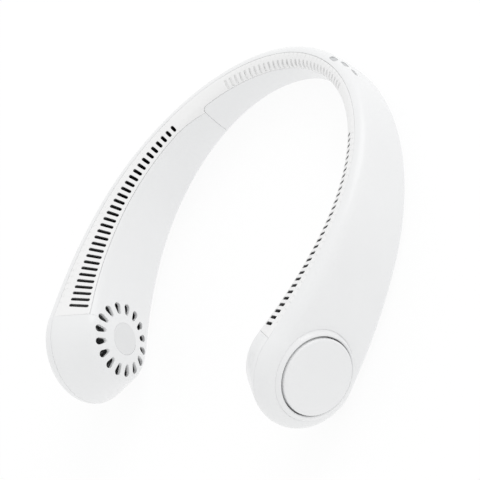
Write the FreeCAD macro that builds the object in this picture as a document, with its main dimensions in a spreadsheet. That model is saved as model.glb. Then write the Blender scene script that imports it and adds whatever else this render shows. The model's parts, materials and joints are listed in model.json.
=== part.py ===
import FreeCAD, Part
import math
import os
import Sketcher
from FreeCAD import Placement, Rotation, Vector

# Bladeless neck fan: a horseshoe of white moulded shells with a blower pod at each tip.
# Design frame in millimetres: +X to the right arm, +Y to the arch at the nape, +Z to the outlet side,
# with the axes of both pods at Z 0. The finished fan is then laid down on its sloping lower edge.

DOCUMENT = FreeCAD.newDocument("neck_fan")
SHEET = DOCUMENT.addObject("Spreadsheet::Sheet", "Sizes")

DRIVING_SIZES = {
    # Spine: the line of the outlet slots seen from above
    "half_width": 78.1,
    "arch_rise": 94.0,
    "side_radius": 172.0,
    "toe_angle": 16.0,
    "pod_run": 11.3,
    "run_steps": 1,
    "side_steps": 4,
    "arch_steps": 11,
    # Cross-section of the band, at the pods and at the arch
    "pod_radius": 29.0,
    "arch_height": 22.669525,
    "wall": 1.8,
    "seam_gap": 0.15,
    "outer_reach_pod": 20.7,
    "outer_reach_arch": 10.7,
    "outer_reach_power": 2.5,
    "inner_reach_pod": 13.0,
    "inner_reach_arch": 1.2,
    "inner_reach_power": 1.53,
    "outer_bulge_pod": 200.0,
    "outer_bulge_arch": 77.0,
    "inner_bulge_pod": 53.0,
    "inner_bulge_arch": 38.0,
    "crown_round_pod": 7.9,
    "crown_round_arch": 4.6,
    "brow_round_pod": 9.0,
    "brow_round_arch": 3.4,
    "keel_round_arch": 3.0,
    "sole_round_arch": 3.0,
    "strip_slope_pod": 23.15,
    "strip_slope_arch": 26.1,
    "under_slope_arch": 10.5,
    "cant_angle": 11.27,
    "cant_power": 1.84,
    "cant_height": 26.5,
    "corner_facets": 2,
    "outer_facets": 2,
    "inner_facets": 4,
    "pod_facets": 24,
    "liner_corner_facets": 1,
    "liner_outer_facets": 2,
    "liner_inner_facets": 2,
    # Outlet strip and its slots
    "strip_start": 2.6,
    "strip_skew": 2.5,
    "strip_border": 1.6,
    "cut_slack": 0.5,
    "first_slot": 7.1,
    "slot_pitch": 3.6,
    "slot_count": 31,
    "slot_width": 1.7,
    "slot_length_first": 10.0,
    "slot_length_last": 3.8,
    "slot_end_facets": 2,
    # Neck panel over the arch
    "panel_start": 134.5,
    # Inlet grille on the domed inner face of each pod
    "grille_slots": 16,
    "grille_inset": 10.1,
    "grille_length": 6.0,
    "grille_outer": "=pod_radius - grille_inset",
    "grille_inner": "=grille_outer - grille_length",
    "grille_width_inner": 2.3,
    "grille_width_outer": 3.7,
    "label_radius": 8.2,
    "label_depth": 0.3,
    "label_fit": 0.1,
    # Button well in the outer face of each pod, with a raised collar
    "well_inset": 8.7,
    "well_radius": "=pod_radius - well_inset",
    "well_depth": 5.0,
    "well_drop": 1.0,
    "collar_inset": 6.34,
    "collar_radius": "=pod_radius - collar_inset",
    "collar_rise": 2.2,
    "button_gap": 0.5,
    "button_raise": 1.45,
    "button_travel": 0.8,
    "button_clearance": 0.3,
    "cap_clearance": 0.02,
    "button_edge": 0.8,
    "stem_radius": 2.4,
    "hook_radius": 10.0,
    "hook_width": 4.0,
    "hook_thickness": 1.4,
    "hook_nose": 0.8,
    "hook_nose_height": 1.2,
    # Control board, switch and charging socket in the right pod
    "board_gap": 4.0,
    "board_side": 24.0,
    "board_thickness": 1.0,
    "board_post_side": 3.2,
    "board_post_circle": 10.0,
    "tongue_width": 11.0,
    "tongue_inset": 4.2,
    "tongue_reach": "=pod_radius - tongue_inset",
    "switch_side": 6.0,
    "switch_height": 3.4,
    "plunger_radius": 1.6,
    "plunger_length": 2.0,
    "plunger_fit": 0.05,
    "plunger_floor": 0.3,
    "port_width": 8.9,
    "port_height": 3.2,
    "port_length": 7.3,
    "port_shell": 0.3,
    "port_recess": 0.8,
    "port_tongue_width": 6.6,
    "port_tongue": 0.7,
    "port_tongue_length": 5.0,
    "port_clearance": 0.4,
    "port_end_facets": 4,
    # Blower motor hung from its bracket
    "bracket_drop": 3.9,
    "bracket_thickness": 1.2,
    "bracket_arm": 7.0,
    "boss_inset": 8.0,
    "boss_circle": "=pod_radius - boss_inset",
    "boss_side": 3.4,
    "motor_radius": 7.6,
    "motor_length": 8.8,
    "motor_clearance": 0.6,
    "shaft_radius": 0.8,
    "shaft_fit": 0.03,
    "shaft_depth": 7.0,
    # Blower wheel
    "wheel_gap": 1.8,
    "wheel_inset": 11.5,
    "wheel_radius": "=pod_radius - wheel_inset",
    "blade_depth": 3.8,
    "blade_setback": 0.3,
    "blade_reach": "=wheel_radius - blade_setback",
    "wheel_inner": "=blade_reach - blade_depth",
    "wheel_plate": 1.0,
    "hub_wall": 1.2,
    "blade_height": 8.0,
    "blade_count": 23,
    "blade_thickness": 0.7,
    "blade_bow": 0.45,
    # Battery trays and cells inside the arms
    "cell_length": 42.0,
    "cell_height": 15.0,
    "cell_thickness": 8.0,
    "cell_bevel": 1.5,
    "cell_station": 54.0,
    "cell_lift": 7.0,
    "cell_offset": 2.2,
    "tray_wall": 1.0,
    "tray_fit": 0.1,
    "tray_lip": 4.0,
    "tray_post_side": 3.6,
    "tray_post_spread": 26.0,
    # Indicator windows on the outer face of the arch
    "window_station": 168.0,
    "window_pitch": 6.75,
    "window_count": 3,
    "window_length": 5.4,
    "window_width": 2.6,
    "window_recess": 0.35,
    "window_fit": 0.05,
    "window_height_share": 0.96,
    "window_drop_share": 0.07,
    # Working allowance past a face for every cut
    "overrun": 2.0,
}

for row, (name, value) in enumerate(DRIVING_SIZES.items(), 1):
    SHEET.set(f"A{row}", name)
    SHEET.set(f"B{row}", str(value))
    SHEET.setAlias(f"B{row}", name)
DOCUMENT.recompute()


class Size(float):
    """A number from the sheet that remembers the expression it came from."""

    def __new__(cls, value, text):
        size = super().__new__(cls, value)
        size.text = text
        return size

    def joined(self, sign, other, value):
        text = other.text if isinstance(other, Size) else repr(other)
        return Size(value, f"({self.text} {sign} {text})")

    def __add__(self, other):
        return self.joined("+", other, float(self) + float(other))

    def __sub__(self, other):
        return self.joined("-", other, float(self) - float(other))

    def __mul__(self, other):
        return self.joined("*", other, float(self) * float(other))

    def __truediv__(self, other):
        return self.joined("/", other, float(self) / float(other))

    def __neg__(self):
        return Size(-float(self), f"(-{self.text})")


class Sizes:
    """The sheet's cells, read by name."""

    def __getattr__(self, name):
        return Size(SHEET.get(name), f"Sizes.{name}")


size = Sizes()
UP = Vector(0, 0, 1)
QUARTER = math.pi / 2
RIGHT, LEFT = 1, -1
SIDE_NAMES = {RIGHT: "right", LEFT: "left"}


# Spine

def spine_edges():
    """Right half of the spine with each edge's start: straight run, side arc and quarter ellipse."""
    toe = math.radians(size.toe_angle)
    centre = Vector(size.half_width - size.side_radius, 0, 0)

    def on_side(angle):
        return centre + Vector(math.cos(angle), -math.sin(angle), 0) * float(size.side_radius)

    widest, apex = on_side(0), Vector(0, size.arch_rise, 0)
    bend = on_side(toe)
    pod = bend - Vector(math.sin(toe), math.cos(toe), 0) * float(size.pod_run)
    long_end, short_end = sorted((apex, widest), key=lambda end: -end.Length)
    quarter = Part.ArcOfEllipse(Part.Ellipse(long_end, short_end, Vector()), 0, QUARTER)
    side = Part.Arc(bend, on_side(toe / 2), widest)
    return [(Part.makeLine(pod, bend), pod), (side.toShape(), bend), (quarter.toShape(), widest)]


SPINE = spine_edges()
SPINE_LENGTH = sum(edge.Length for edge, start in SPINE)


def spine_at(distance):
    """Point and direction on the right half of the spine, a distance from the pod's centre."""
    for edge, start in SPINE:
        if distance <= edge.Length or edge is SPINE[-1][0]:
            break
        distance -= edge.Length
    first, last = edge.valueAt(edge.FirstParameter), edge.valueAt(edge.LastParameter)
    forward = first.distanceToPoint(start) < last.distanceToPoint(start)
    parameter = edge.getParameterByLength(distance if forward else edge.Length - distance)
    tangent = edge.tangentAt(parameter)
    return edge.valueAt(parameter), tangent if forward else tangent.negative()


def stations():
    """Distances of the sections along the right half of the spine."""
    found, passed = [0.0], 0.0
    for (edge, start), steps in zip(SPINE, (size.run_steps, size.side_steps, size.arch_steps)):
        found += [passed + edge.Length * (step + 1) / steps for step in range(int(steps))]
        passed += edge.Length
    return found


STATIONS = stations()


def slope_below():
    """Slope of the lower edge, which leaves the pod's circle and ends the arch's height below the top."""
    ahead, radius = float(size.arch_rise) - SPINE[0][1].y, float(size.pod_radius)
    drop = radius - float(size.arch_height)
    return math.atan2(drop, ahead) + math.asin(radius / math.hypot(ahead, drop))


LOWER_SLOPE = slope_below()


# Cross-section

def polar(centre, radius, angle):
    return centre + Vector(math.cos(angle), math.sin(angle), 0) * float(radius)


def arc_points(centre, radius, start, end, count):
    count = int(count)
    return [polar(centre, radius, start + (end - start) * step / count) for step in range(count + 1)]


def angle_of(vector):
    return math.atan2(vector.y, vector.x) % (4 * QUARTER)


def tapered(pod_value, arch_value, taper):
    return float(arch_value) + (float(pod_value) - float(arch_value)) * taper


def lower_edge(ahead):
    """Height of the lower edge: the pod's circle, then the plane that leaves it at the lower slope."""
    radius = float(size.pod_radius)
    if ahead < radius * math.sin(LOWER_SLOPE):
        return -math.sqrt(radius**2 - ahead**2)
    return ahead * math.tan(LOWER_SLOPE) - radius / math.cos(LOWER_SLOPE)


class Section:
    """Outline of the band square to the spine, as rounds and straight runs, moved in by an inset.

    Points are (w, z): w outward from the row of slots and z up from the pods' axes.
    """

    def __init__(self, distance, inset=0.0, fine=True):
        self.origin, self.tangent = spine_at(distance)
        self.outward = self.tangent.cross(UP)
        self.inset = float(inset)
        taper = 1 - distance / SPINE_LENGTH
        self.cant = math.radians(size.cant_angle) * (1 - taper) ** size.cant_power
        if fine:
            self.facets = size.corner_facets, size.outer_facets, size.inner_facets
        else:
            self.facets = size.liner_corner_facets, size.liner_outer_facets, size.liner_inner_facets
        self.top = float(size.pod_radius)
        self.bottom = lower_edge(self.origin.y - SPINE[0][1].y)
        self.middle = (self.top + self.bottom) / 2
        self.outer_reach = tapered(size.outer_reach_pod, size.outer_reach_arch, taper**size.outer_reach_power)
        self.inner_reach = tapered(size.inner_reach_pod, size.inner_reach_arch, taper**size.inner_reach_power)
        self.outer_bulge = tapered(size.outer_bulge_pod, size.outer_bulge_arch, taper)
        self.inner_bulge = tapered(size.inner_bulge_pod, size.inner_bulge_arch, taper)
        self.crown_round = tapered(size.crown_round_pod, size.crown_round_arch, taper)
        self.brow_round = tapered(size.brow_round_pod, size.brow_round_arch, taper)
        self.keel_round = tapered(size.crown_round_pod, size.keel_round_arch, taper)
        self.sole_round = tapered(size.brow_round_pod, size.sole_round_arch, taper)
        self.strip_slope = math.radians(tapered(size.strip_slope_pod, size.strip_slope_arch, taper))
        self.under_slope = math.radians(tapered(size.strip_slope_pod, size.under_slope_arch, taper))
        self.outer_centre = Vector(self.outer_reach - self.outer_bulge, self.middle, 0)
        self.inner_centre = Vector(self.inner_bulge - self.inner_reach, self.middle, 0)
        self.crown, self.brow = self.corner(self.top, self.crown_round, self.brow_round, self.strip_slope, 1)
        self.keel, self.sole = self.corner(self.bottom, self.keel_round, self.sole_round, self.under_slope, -1)

    def corner(self, edge, near_round, far_round, slope, upward):
        """Centres of the two rounds of the upper or lower edge, which one straight run joins."""
        height = edge - upward * near_round
        reach = math.sqrt((self.outer_bulge - near_round) ** 2 - (height - self.middle) ** 2)
        near = Vector(self.outer_centre.x + reach, height, 0)
        normal = Vector(-math.sin(slope), upward * math.cos(slope), 0)
        along = Vector(-math.cos(slope), -upward * math.sin(slope), 0)
        start = near + normal * (near_round - far_round)
        offset = start - self.inner_centre
        lead = offset.dot(along)
        room = (self.inner_bulge - far_round) ** 2 - offset.dot(offset)
        return near, start + along * (math.sqrt(lead**2 + room) - lead)

    def outer_run(self):
        """Outer face with its rounds, from the keel line up to the crown line, a seam short of both."""
        corner, face, _ = self.facets
        low = angle_of(self.keel - self.outer_centre) - 4 * QUARTER
        high = angle_of(self.crown - self.outer_centre)
        start = size.seam_gap / self.keel_round - QUARTER
        end = QUARTER - size.seam_gap / self.crown_round
        return (
            arc_points(self.keel, self.keel_round - self.inset, start, low, corner)
            + arc_points(self.outer_centre, self.outer_bulge - self.inset, low, high, face)[1:]
            + arc_points(self.crown, self.crown_round - self.inset, high, end, corner)[1:]
        )

    def inner_run(self):
        """Outlet strip, inner face and underside, from the crown line round to the keel line."""
        corner, _, face = self.facets
        strip, under = QUARTER + self.strip_slope, 3 * QUARTER - self.under_slope
        high = angle_of(self.brow - self.inner_centre)
        low = angle_of(self.sole - self.inner_centre)
        return (
            arc_points(self.crown, self.crown_round - self.inset, QUARTER, strip, 1)
            + arc_points(self.brow, self.brow_round - self.inset, strip, high, corner)
            + arc_points(self.inner_centre, self.inner_bulge - self.inset, high, low, face)[1:]
            + arc_points(self.sole, self.sole_round - self.inset, low, under, corner)[1:]
            + arc_points(self.keel, self.keel_round - self.inset, under, 3 * QUARTER, 1)
        )

    def spot(self, point):
        """Place of a section point in the design frame, with the section canted about the row."""
        height = point.y - float(size.cant_height)
        cosine, sine = math.cos(self.cant), math.sin(self.cant)
        width = point.x * cosine - height * sine
        rise = point.x * sine + height * cosine + float(size.cant_height)
        return self.origin + self.outward * width + UP * rise

    def direction(self, vector):
        """A section direction in the design frame."""
        return self.spot(vector) - self.spot(Vector())

    def row_walk(self, distance):
        """Point and normal on the skin, a distance inward along it from the row of slots."""
        points = self.inner_run()
        for start, end in zip(points, points[1:]):
            edge = end - start
            if start.x > 0 >= end.x:
                start = start + edge * (start.x / (start.x - end.x))
                edge = end - start
            elif start.x > 0:
                continue
            if distance <= edge.Length:
                break
            distance -= edge.Length
        edge.normalize()
        return start + edge * distance, Vector(edge.y, -edge.x, 0)

    def outer_spot(self, height_share):
        """Point and normal on the outer face at a share of the section's height."""
        height = self.bottom + (self.top - self.bottom) * float(height_share)
        points = self.outer_run()
        for start, end in zip(points, points[1:]):
            if start.y <= height <= end.y:
                break
        edge = end - start
        point = start + edge * ((height - start.y) / edge.y)
        return point, Vector(edge.y, -edge.x, 0).normalize()


# Solids of the band

def mirrored(point):
    return Vector(-point.x, point.y, point.z)


def closed(points):
    return Part.makePolygon(points + points[:1])


def mirror_image(shape):
    return shape.mirror(Vector(), Vector(1, 0, 0))


def band_loft(outline):
    """Solid through an outline at each station, from the right pod over the arch to the left pod."""
    half = [outline(distance) for distance in STATIONS]
    rings = half + [[mirrored(point) for point in ring] for ring in reversed(half[:-1])]
    return Part.makeLoft([closed(ring) for ring in rings], True, True)


def wall_outline(run):
    """Outline of the wall behind one run of the skin."""

    def outline(distance):
        skin, liner = Section(distance), Section(distance, size.wall, fine=False)
        outside = [skin.spot(point) for point in getattr(skin, run)()]
        inside = [liner.spot(point) for point in getattr(liner, run)()]
        return outside + inside[::-1]

    return outline


def flats_solid(tip, rings):
    """Solid of flat faces from a tip through closed rings of points, capped at the last ring."""
    outlines = [rings[-1]]
    for number, (first, second) in enumerate(zip(rings[0], rings[0][1:] + rings[0][:1])):
        following = (number + 1) % len(rings[0])
        outlines.append([tip, first, second])
        for ring, wider in zip(rings, rings[1:]):
            outlines.append([ring[number], wider[number], wider[following], ring[following]])
    return Part.makeSolid(Part.makeShell([Part.Face(closed(outline)) for outline in outlines]))


def pod_layer(run, inset, fine=True):
    """Solid of the whole right pod inside a run of the skin, stacked from rings of flats."""
    layer = Section(0.0, inset, fine)
    points = getattr(layer, run)()
    middle = len(points) // 2
    half = points[middle:] if run == "outer_run" else points[middle::-1]
    frame = pod_frame(RIGHT)
    rings = []
    for point in half[1:]:
        ring = [spot + UP * point.x for angle, spot in around(point.y, size.pod_facets, BOSS_TURN_SHARE)]
        rings.append([frame.multVec(spot) for spot in ring])
    return flats_solid(frame.multVec(UP * half[0].x), rings)


def pod_wall(run):
    """Wall of the front half of the right pod."""
    origin, tangent = spine_at(0.0)
    reach = 2 * float(size.pod_radius)
    front = Part.makeBox(2 * reach, reach, 2 * reach, Vector(-reach, -reach, -reach))
    front = placed(front, Placement(origin, Rotation(tangent.cross(UP), tangent, UP, "XYZ")))
    return pod_layer(run, 0.0).cut(pod_layer(run, size.wall, fine=False)).common(front)


def both_sides(shape):
    return [shape, mirror_image(shape)]


def band_wall(run):
    """One wall of the whole band: the arms and arch, closed by half a turn round each pod."""
    return band_loft(wall_outline(run)).fuse(both_sides(pod_wall(run)))


def pod_frame(side):
    """Frame of a pod: z outward along its axis and y up."""
    origin, tangent = spine_at(0.0)
    outward = tangent.cross(UP)
    if side == LEFT:
        origin, outward = mirrored(origin), mirrored(outward)
    return Placement(origin, Rotation(UP.cross(outward), UP, outward, "XYZ"))


def well_frame(side):
    """Frame of a pod's well, whose axis lies a little below the pod's."""
    return pod_frame(side).multiply(Placement(Vector(0, -size.well_drop, 0), Rotation()))


def placed(shape, placement):
    moved = shape.copy()
    moved.Placement = placement.multiply(moved.Placement)
    return moved


def cylinder(radius, low, high, x=0.0, y=0.0):
    return Part.makeCylinder(float(radius), float(high - low), Vector(x, y, low))


def square_post(side, low, high, spot, angle=0.0):
    """Square post between two heights, turned to face an angle."""
    half = float(side) / 2
    post = Part.makeBox(2 * half, 2 * half, float(high - low), Vector(-half, -half, low))
    return placed(post, Placement(spot, Rotation(UP, math.degrees(angle))))


def turned_solid(points):
    """Solid turned about the z axis from (radius, height) points."""
    profile = closed([Vector(radius, 0, height) for radius, height in points])
    return Part.Face(profile).revolve(Vector(), UP, 360)


def around(radius, count, start_turn=0.0):
    """Angles and places of a ring of points about the z axis."""
    for step in range(int(count)):
        angle = 4 * QUARTER * (step / count + start_turn)
        yield angle, polar(Vector(), radius, angle)


def prism(points, low, high):
    """Upright prism of an outline between two heights."""
    solid = Part.Face(closed(points)).extrude(UP * float(high - low))
    solid.translate(UP * float(low))
    return solid


def slot_outline(near, near_width, far, far_width, facets):
    """Outline along x of a slot with round ends, which may taper."""
    near_radius, far_radius = float(near_width) / 2, float(far_width) / 2
    near_centre, far_centre = Vector(near + near_radius, 0, 0), Vector(far - far_radius, 0, 0)
    return (
        arc_points(far_centre, far_radius, -QUARTER, QUARTER, facets)
        + arc_points(near_centre, near_radius, QUARTER, 3 * QUARTER, facets)
    )


def slot_prism(length, width, low, high, facets=size.slot_end_facets):
    """Prism of a round-ended slot centred on the z axis, long in x."""
    return prism(slot_outline(-length / 2, width, length / 2, width, facets), low, high)


def facing(point, long_axis, normal):
    """Frame with z along the normal and x along the long axis."""
    return Placement(point, Rotation(long_axis, normal.cross(long_axis), normal, "XYZ"))


def mix_frame(place, turn=0.0, lift=0.0):
    """A pod's frame turned about its axis and moved outward along it."""
    spin = Rotation(UP, float(turn))
    return place.multiply(Placement(Vector(0, 0, lift), spin))


# Heights along a pod's axis, outward from the spine
WELL_FLOOR = size.outer_reach_pod - size.well_depth
FLOOR_UNDER = WELL_FLOOR - size.wall
BOARD_TOP = FLOOR_UNDER - size.board_gap
BOARD_UNDER = BOARD_TOP - size.board_thickness
PORT_MIDDLE = BOARD_UNDER - size.port_height / 2
BRACKET_TOP = BOARD_UNDER - size.bracket_drop
BRACKET_UNDER = BRACKET_TOP - size.bracket_thickness
MOTOR_END = BRACKET_UNDER - size.motor_length
SHAFT_TOP = MOTOR_END + size.shaft_depth
HUB_END = MOTOR_END - size.motor_clearance - size.hub_wall
WHEEL_TOP = BRACKET_UNDER - size.wheel_gap
BLADE_END = WHEEL_TOP - size.wheel_plate - size.blade_height
SWITCH_TOP = BOARD_TOP + size.switch_height
PLUNGER_TOP = SWITCH_TOP + size.button_travel + size.plunger_fit
BUTTON_FACE = size.outer_reach_pod + size.button_raise
BUTTON_RADIUS = size.well_radius - size.button_gap

HOOKS = 3
HOOK_TURN_SHARE = 1 / 12
BOSS_TURN_SHARE = 1 / 4


# Document objects

SUBPARTS = []


def add_shape(label, shape):
    """Sub-part with a shape worked out in the design frame."""
    item = DOCUMENT.addObject("Part::Feature", label)
    item.Label = label
    item.Shape = shape
    SUBPARTS.append((item, Placement()))


def hold(sketch, item, end, x, y):
    """Hold a point of a sketch at sizes along both of its axes."""
    for kind, axis, length in (("DistanceX", -2, x), ("DistanceY", -1, y)):
        if length == 0:
            sketch.addConstraint(Sketcher.Constraint("PointOnObject", item, end, axis))
            continue
        number = sketch.addConstraint(Sketcher.Constraint(kind, -1, 1, item, end, float(length)))
        sketch.setExpression(f"Constraints[{number}]", length.text)


def hold_radius(sketch, item, radius):
    number = sketch.addConstraint(Sketcher.Constraint("Radius", item, float(radius)))
    sketch.setExpression(f"Constraints[{number}]", radius.text)


def join_ends(sketch, items):
    for item, following in zip(items, items[1:] + items[:1]):
        sketch.addConstraint(Sketcher.Constraint("Coincident", item, 2, following, 1))


def draw_polygon(sketch, points):
    """Closed polygon through (x, y) sizes."""
    spots = [Vector(x, y, 0) for x, y in points]
    lines = []
    for start, end in zip(spots, spots[1:] + spots[:1]):
        lines.append(sketch.addGeometry(Part.LineSegment(start, end)))
    join_ends(sketch, lines)
    for line, (x, y) in zip(lines, points):
        hold(sketch, line, 1, x, y)


def draw_rectangle(sketch, left, low, right, high):
    draw_polygon(sketch, [(left, low), (right, low), (right, high), (left, high)])


def draw_circle(sketch, radius, x=0.0, y=0.0):
    circle = sketch.addGeometry(Part.Circle(Vector(x, y, 0), UP, float(radius)))
    hold(sketch, circle, 3, x, y)
    hold_radius(sketch, circle, radius)


def draw_slot(sketch, length, width):
    """Round-ended outline centred on the origin, long in x."""
    half, radius = (length - width) / 2, width / 2
    ends = []
    for centre, start in ((half, -QUARTER), (-half, QUARTER)):
        circle = Part.Circle(Vector(centre, 0, 0), UP, float(radius))
        ends.append(sketch.addGeometry(Part.ArcOfCircle(circle, start, start + 2 * QUARTER)))
        hold(sketch, ends[-1], 3, centre, 0.0)
    lines = []
    for side, start in ((radius, half), (-radius, -half)):
        lines.append(sketch.addGeometry(Part.LineSegment(Vector(start, side, 0), Vector(-start, side, 0))))
    for first, second in zip((ends[0], lines[0], ends[1], lines[1]), (lines[0], ends[1], lines[1], ends[0])):
        sketch.addConstraint(Sketcher.Constraint("Tangent", first, 2, second, 1))
    hold_radius(sketch, ends[0], radius)


class Piece:
    """A body of sketches and features whose sizes are all bound to the sheet."""

    def __init__(self, label, place):
        self.body = DOCUMENT.addObject("PartDesign::Body", label)
        self.body.Label = label
        SUBPARTS.append((self.body, place))

    def sketch(self, plane="XY_Plane", height=None):
        sketch = self.body.newObject("Sketcher::SketchObject", "Sketch")
        support = next(item for item in self.body.Origin.OriginFeatures if item.Role == plane)
        sketch.AttachmentSupport = (support, "")
        sketch.MapMode = "FlatFace"
        if height is not None:
            sketch.setExpression("AttachmentOffset.Base.z", height.text)
        return sketch

    def turn(self, points):
        """Add a solid turned about the z axis from (radius, height) sizes."""
        sketch = self.sketch("XZ_Plane")
        draw_polygon(sketch, points)
        turn = self.body.newObject("PartDesign::Revolution", "Turn")
        turn.Profile = sketch
        turn.ReferenceAxis = (sketch, ["V_Axis"])
        turn.Angle = 360

    def pad(self, sketch, length):
        pad = self.body.newObject("PartDesign::Pad", "Pad")
        pad.Profile = sketch
        pad.setExpression("Length", length.text)
        return pad

    def pocket(self, sketch, depth, upward=False):
        pocket = self.body.newObject("PartDesign::Pocket", "Pocket")
        pocket.Profile = sketch
        pocket.setExpression("Length", depth.text)
        pocket.Reversed = upward
        return pocket

    def repeat_round(self, features, sketch, count):
        """Repeat features in a ring about the z axis."""
        ring = self.body.newObject("PartDesign::PolarPattern", "Ring")
        ring.Originals = features
        ring.Axis = (sketch, ["N_Axis"])
        ring.Angle = 360
        ring.Occurrences = int(count)
        self.body.Tip = ring


# Outer shell

def skin_height(radius):
    """Height of the outer face of a pod at a radius from its axis."""
    bulge = float(size.outer_bulge_pod)
    return float(size.outer_reach_pod) - bulge + math.sqrt(bulge**2 - float(radius) ** 2)


def well_solids():
    """Cup behind a pod's outer face and the collar on it, in the well's frame."""
    rim = skin_height(size.collar_radius + size.well_drop)
    cup_top = rim - size.wall / 2
    cup = [spot for angle, spot in around(size.well_radius + size.wall, size.pod_facets, BOSS_TURN_SHARE)]
    collar = turned_solid([
        (0, cup_top),
        (size.collar_radius, cup_top),
        (size.collar_radius, rim),
        (size.well_radius, rim + size.collar_rise),
        (0, rim + size.collar_rise),
    ])
    return [prism(cup, FLOOR_UNDER, cup_top), collar]


def motor_posts():
    """Posts of a pod that carry the motor bracket, in the pod's frame."""
    root = WELL_FLOOR - size.wall / 2
    return [
        square_post(size.boss_side, BRACKET_TOP, root, spot, angle)
        for angle, spot in around(size.boss_circle, HOOKS, BOSS_TURN_SHARE)
    ]


def board_posts():
    """Posts of the right pod that carry the control board, in the pod's frame."""
    root = WELL_FLOOR - size.wall / 2
    return [
        square_post(size.board_post_side, BOARD_TOP, root, spot, angle)
        for angle, spot in around(size.board_post_circle, HOOKS, BOSS_TURN_SHARE)
    ]


def well_cuts():
    """Recess of a pod's well with the stem hole and the hook windows in its floor, in the well's frame."""
    top = BUTTON_FACE + size.overrun
    low = FLOOR_UNDER - size.overrun
    cuts = [
        cylinder(size.well_radius, WELL_FLOOR, top),
        cylinder(size.stem_radius + size.button_clearance, low, top),
    ]
    half_width = size.hook_width / 2 + size.button_clearance
    reach = size.hook_thickness / 2 + size.button_clearance
    for angle, spot in around(size.hook_radius, HOOKS, HOOK_TURN_SHARE):
        window = Part.makeBox(2 * reach, 2 * half_width, top - low, Vector(-reach, -half_width, low))
        window.Placement = Placement(spot, Rotation(UP, math.degrees(angle))).multiply(window.Placement)
        cuts.append(window)
    return cuts


def tray_frame():
    """Frame of the right battery tray: x up the arm, y up and z outward, tilted with the lower edge."""
    section = Section(float(size.cell_station))
    height = section.bottom + size.cell_lift + size.cell_height / 2
    centre = section.spot(Vector(size.cell_offset, height, 0))
    along = section.tangent * math.cos(LOWER_SLOPE) + UP * math.sin(LOWER_SLOPE)
    return Placement(centre, Rotation(along, section.outward.cross(along), section.outward, "XYZ"))


TRAY_BACK = size.cell_thickness / 2 + size.tray_fit + size.tray_wall


def tray_posts():
    """Posts of the right arm's outer wall that carry the battery tray, trimmed by the outer face."""
    frame = tray_frame()
    posts = []
    for share in (-1, 1):
        spot = Vector(share * size.tray_post_spread / 2, 0, 0)
        post = square_post(size.tray_post_side, TRAY_BACK, size.outer_reach_pod, spot)
        posts.append(placed(post, frame))
    return posts


def window_frames():
    """Frames of the oval indicator windows on the right of the arch, z out of the skin."""
    frames = []
    for step in range(int(size.window_count)):
        section = Section(size.window_station - size.window_pitch * step)
        point, normal = section.outer_spot(size.window_height_share - size.window_drop_share * step)
        frames.append(facing(section.spot(point), section.tangent, section.direction(normal)))
    return frames


def outer_shell():
    right, well = pod_frame(RIGHT), well_frame(RIGHT)
    trim = band_loft(wall_core)
    shell = band_wall("outer_run")
    bosses = [placed(solid, well) for solid in well_solids()] + [placed(post, right) for post in motor_posts()]
    posts = [post.common(trim) for post in tray_posts()]
    extra = [solid for shape in bosses + posts for solid in both_sides(shape)]
    shell = shell.fuse(extra + [placed(post, right) for post in board_posts()])
    cuts = [solid for cut in well_cuts() for solid in both_sides(placed(cut, well))]
    depth = size.wall + size.overrun
    window = slot_prism(size.window_length, size.window_width, -depth, size.overrun)
    cuts += [placed(window, frame) for frame in window_frames()]
    add_shape("outer_shell", shell.cut(cuts).removeSplitter())


def wall_core(distance):
    """Outline halfway through the wall, which trims what grows out of the wall."""
    core = Section(distance, size.wall / 2, fine=False)
    return [core.spot(point) for point in core.outer_run() + core.inner_run()]


def indicator_lenses():
    """Light guides that fill the indicator windows, a little below the skin."""
    guide = slot_prism(
        size.window_length - size.window_fit * 2, size.window_width - size.window_fit * 2,
        -size.wall, -size.window_recess,
    )
    add_shape("indicator_lenses", Part.makeCompound([placed(guide, frame) for frame in window_frames()]))


# Inner shells, outlet strip and neck panel

def slot_length(distance):
    """Length of the outlet slot at a distance from the pod, shorter towards the arch."""
    row = size.slot_pitch * (size.slot_count - 1)
    share = min(max((distance - size.first_slot) / row, 0), 1)
    return tapered(size.slot_length_last, size.slot_length_first, share)


def strip_border(section, distance, margin):
    """Point on the skin a margin past the strip's inner border, and the normal at the border."""
    reach = slot_length(distance) / 2 + size.strip_border
    return section.row_walk(reach + margin)[0], section.row_walk(reach)[1]


def strip_outline(margin):
    """Outline of the cut that frees the strip, from past the crown line to the strip's border."""
    above, below = float(size.overrun), float(size.wall + size.cut_slack)

    def outline(distance):
        skin = Section(distance)
        row, row_normal = skin.row_walk(0.0)
        border, normal = strip_border(skin, distance, margin)
        past = QUARTER - size.overrun / skin.crown_round
        corners = [
            polar(skin.crown, skin.crown_round + above, past),
            row + row_normal * above,
            border + normal * above,
            border - normal * below,
            row - row_normal * below,
            polar(skin.crown, skin.crown_round - below, past),
        ]
        return [skin.spot(corner) for corner in corners]

    return outline


def strip_end(margin):
    """Block behind the strip's slanted end on the right pod."""
    start = float(size.strip_start)
    inner, far = Section(start), Section(start - size.strip_skew)
    corner = inner.spot(strip_border(inner, start, 0.0)[0])
    crown = far.spot(polar(far.crown, far.crown_round, QUARTER))
    across = Vector(crown.x - corner.x, crown.y - corner.y, 0).normalize()
    reach = 2 * float(size.pod_radius)
    block = Part.makeBox(reach, reach, reach, Vector(-reach / 2, -reach - margin, -reach / 2))
    ahead = UP.cross(across)
    if ahead.dot(inner.tangent) < 0:
        across, ahead = across.negative(), ahead.negative()
    return placed(block, Placement(corner, Rotation(across, ahead, UP, "XYZ")))


def strip_tool(margin=0.0):
    margin = float(margin)
    return band_loft(strip_outline(margin)).cut(both_sides(strip_end(margin)))


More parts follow.
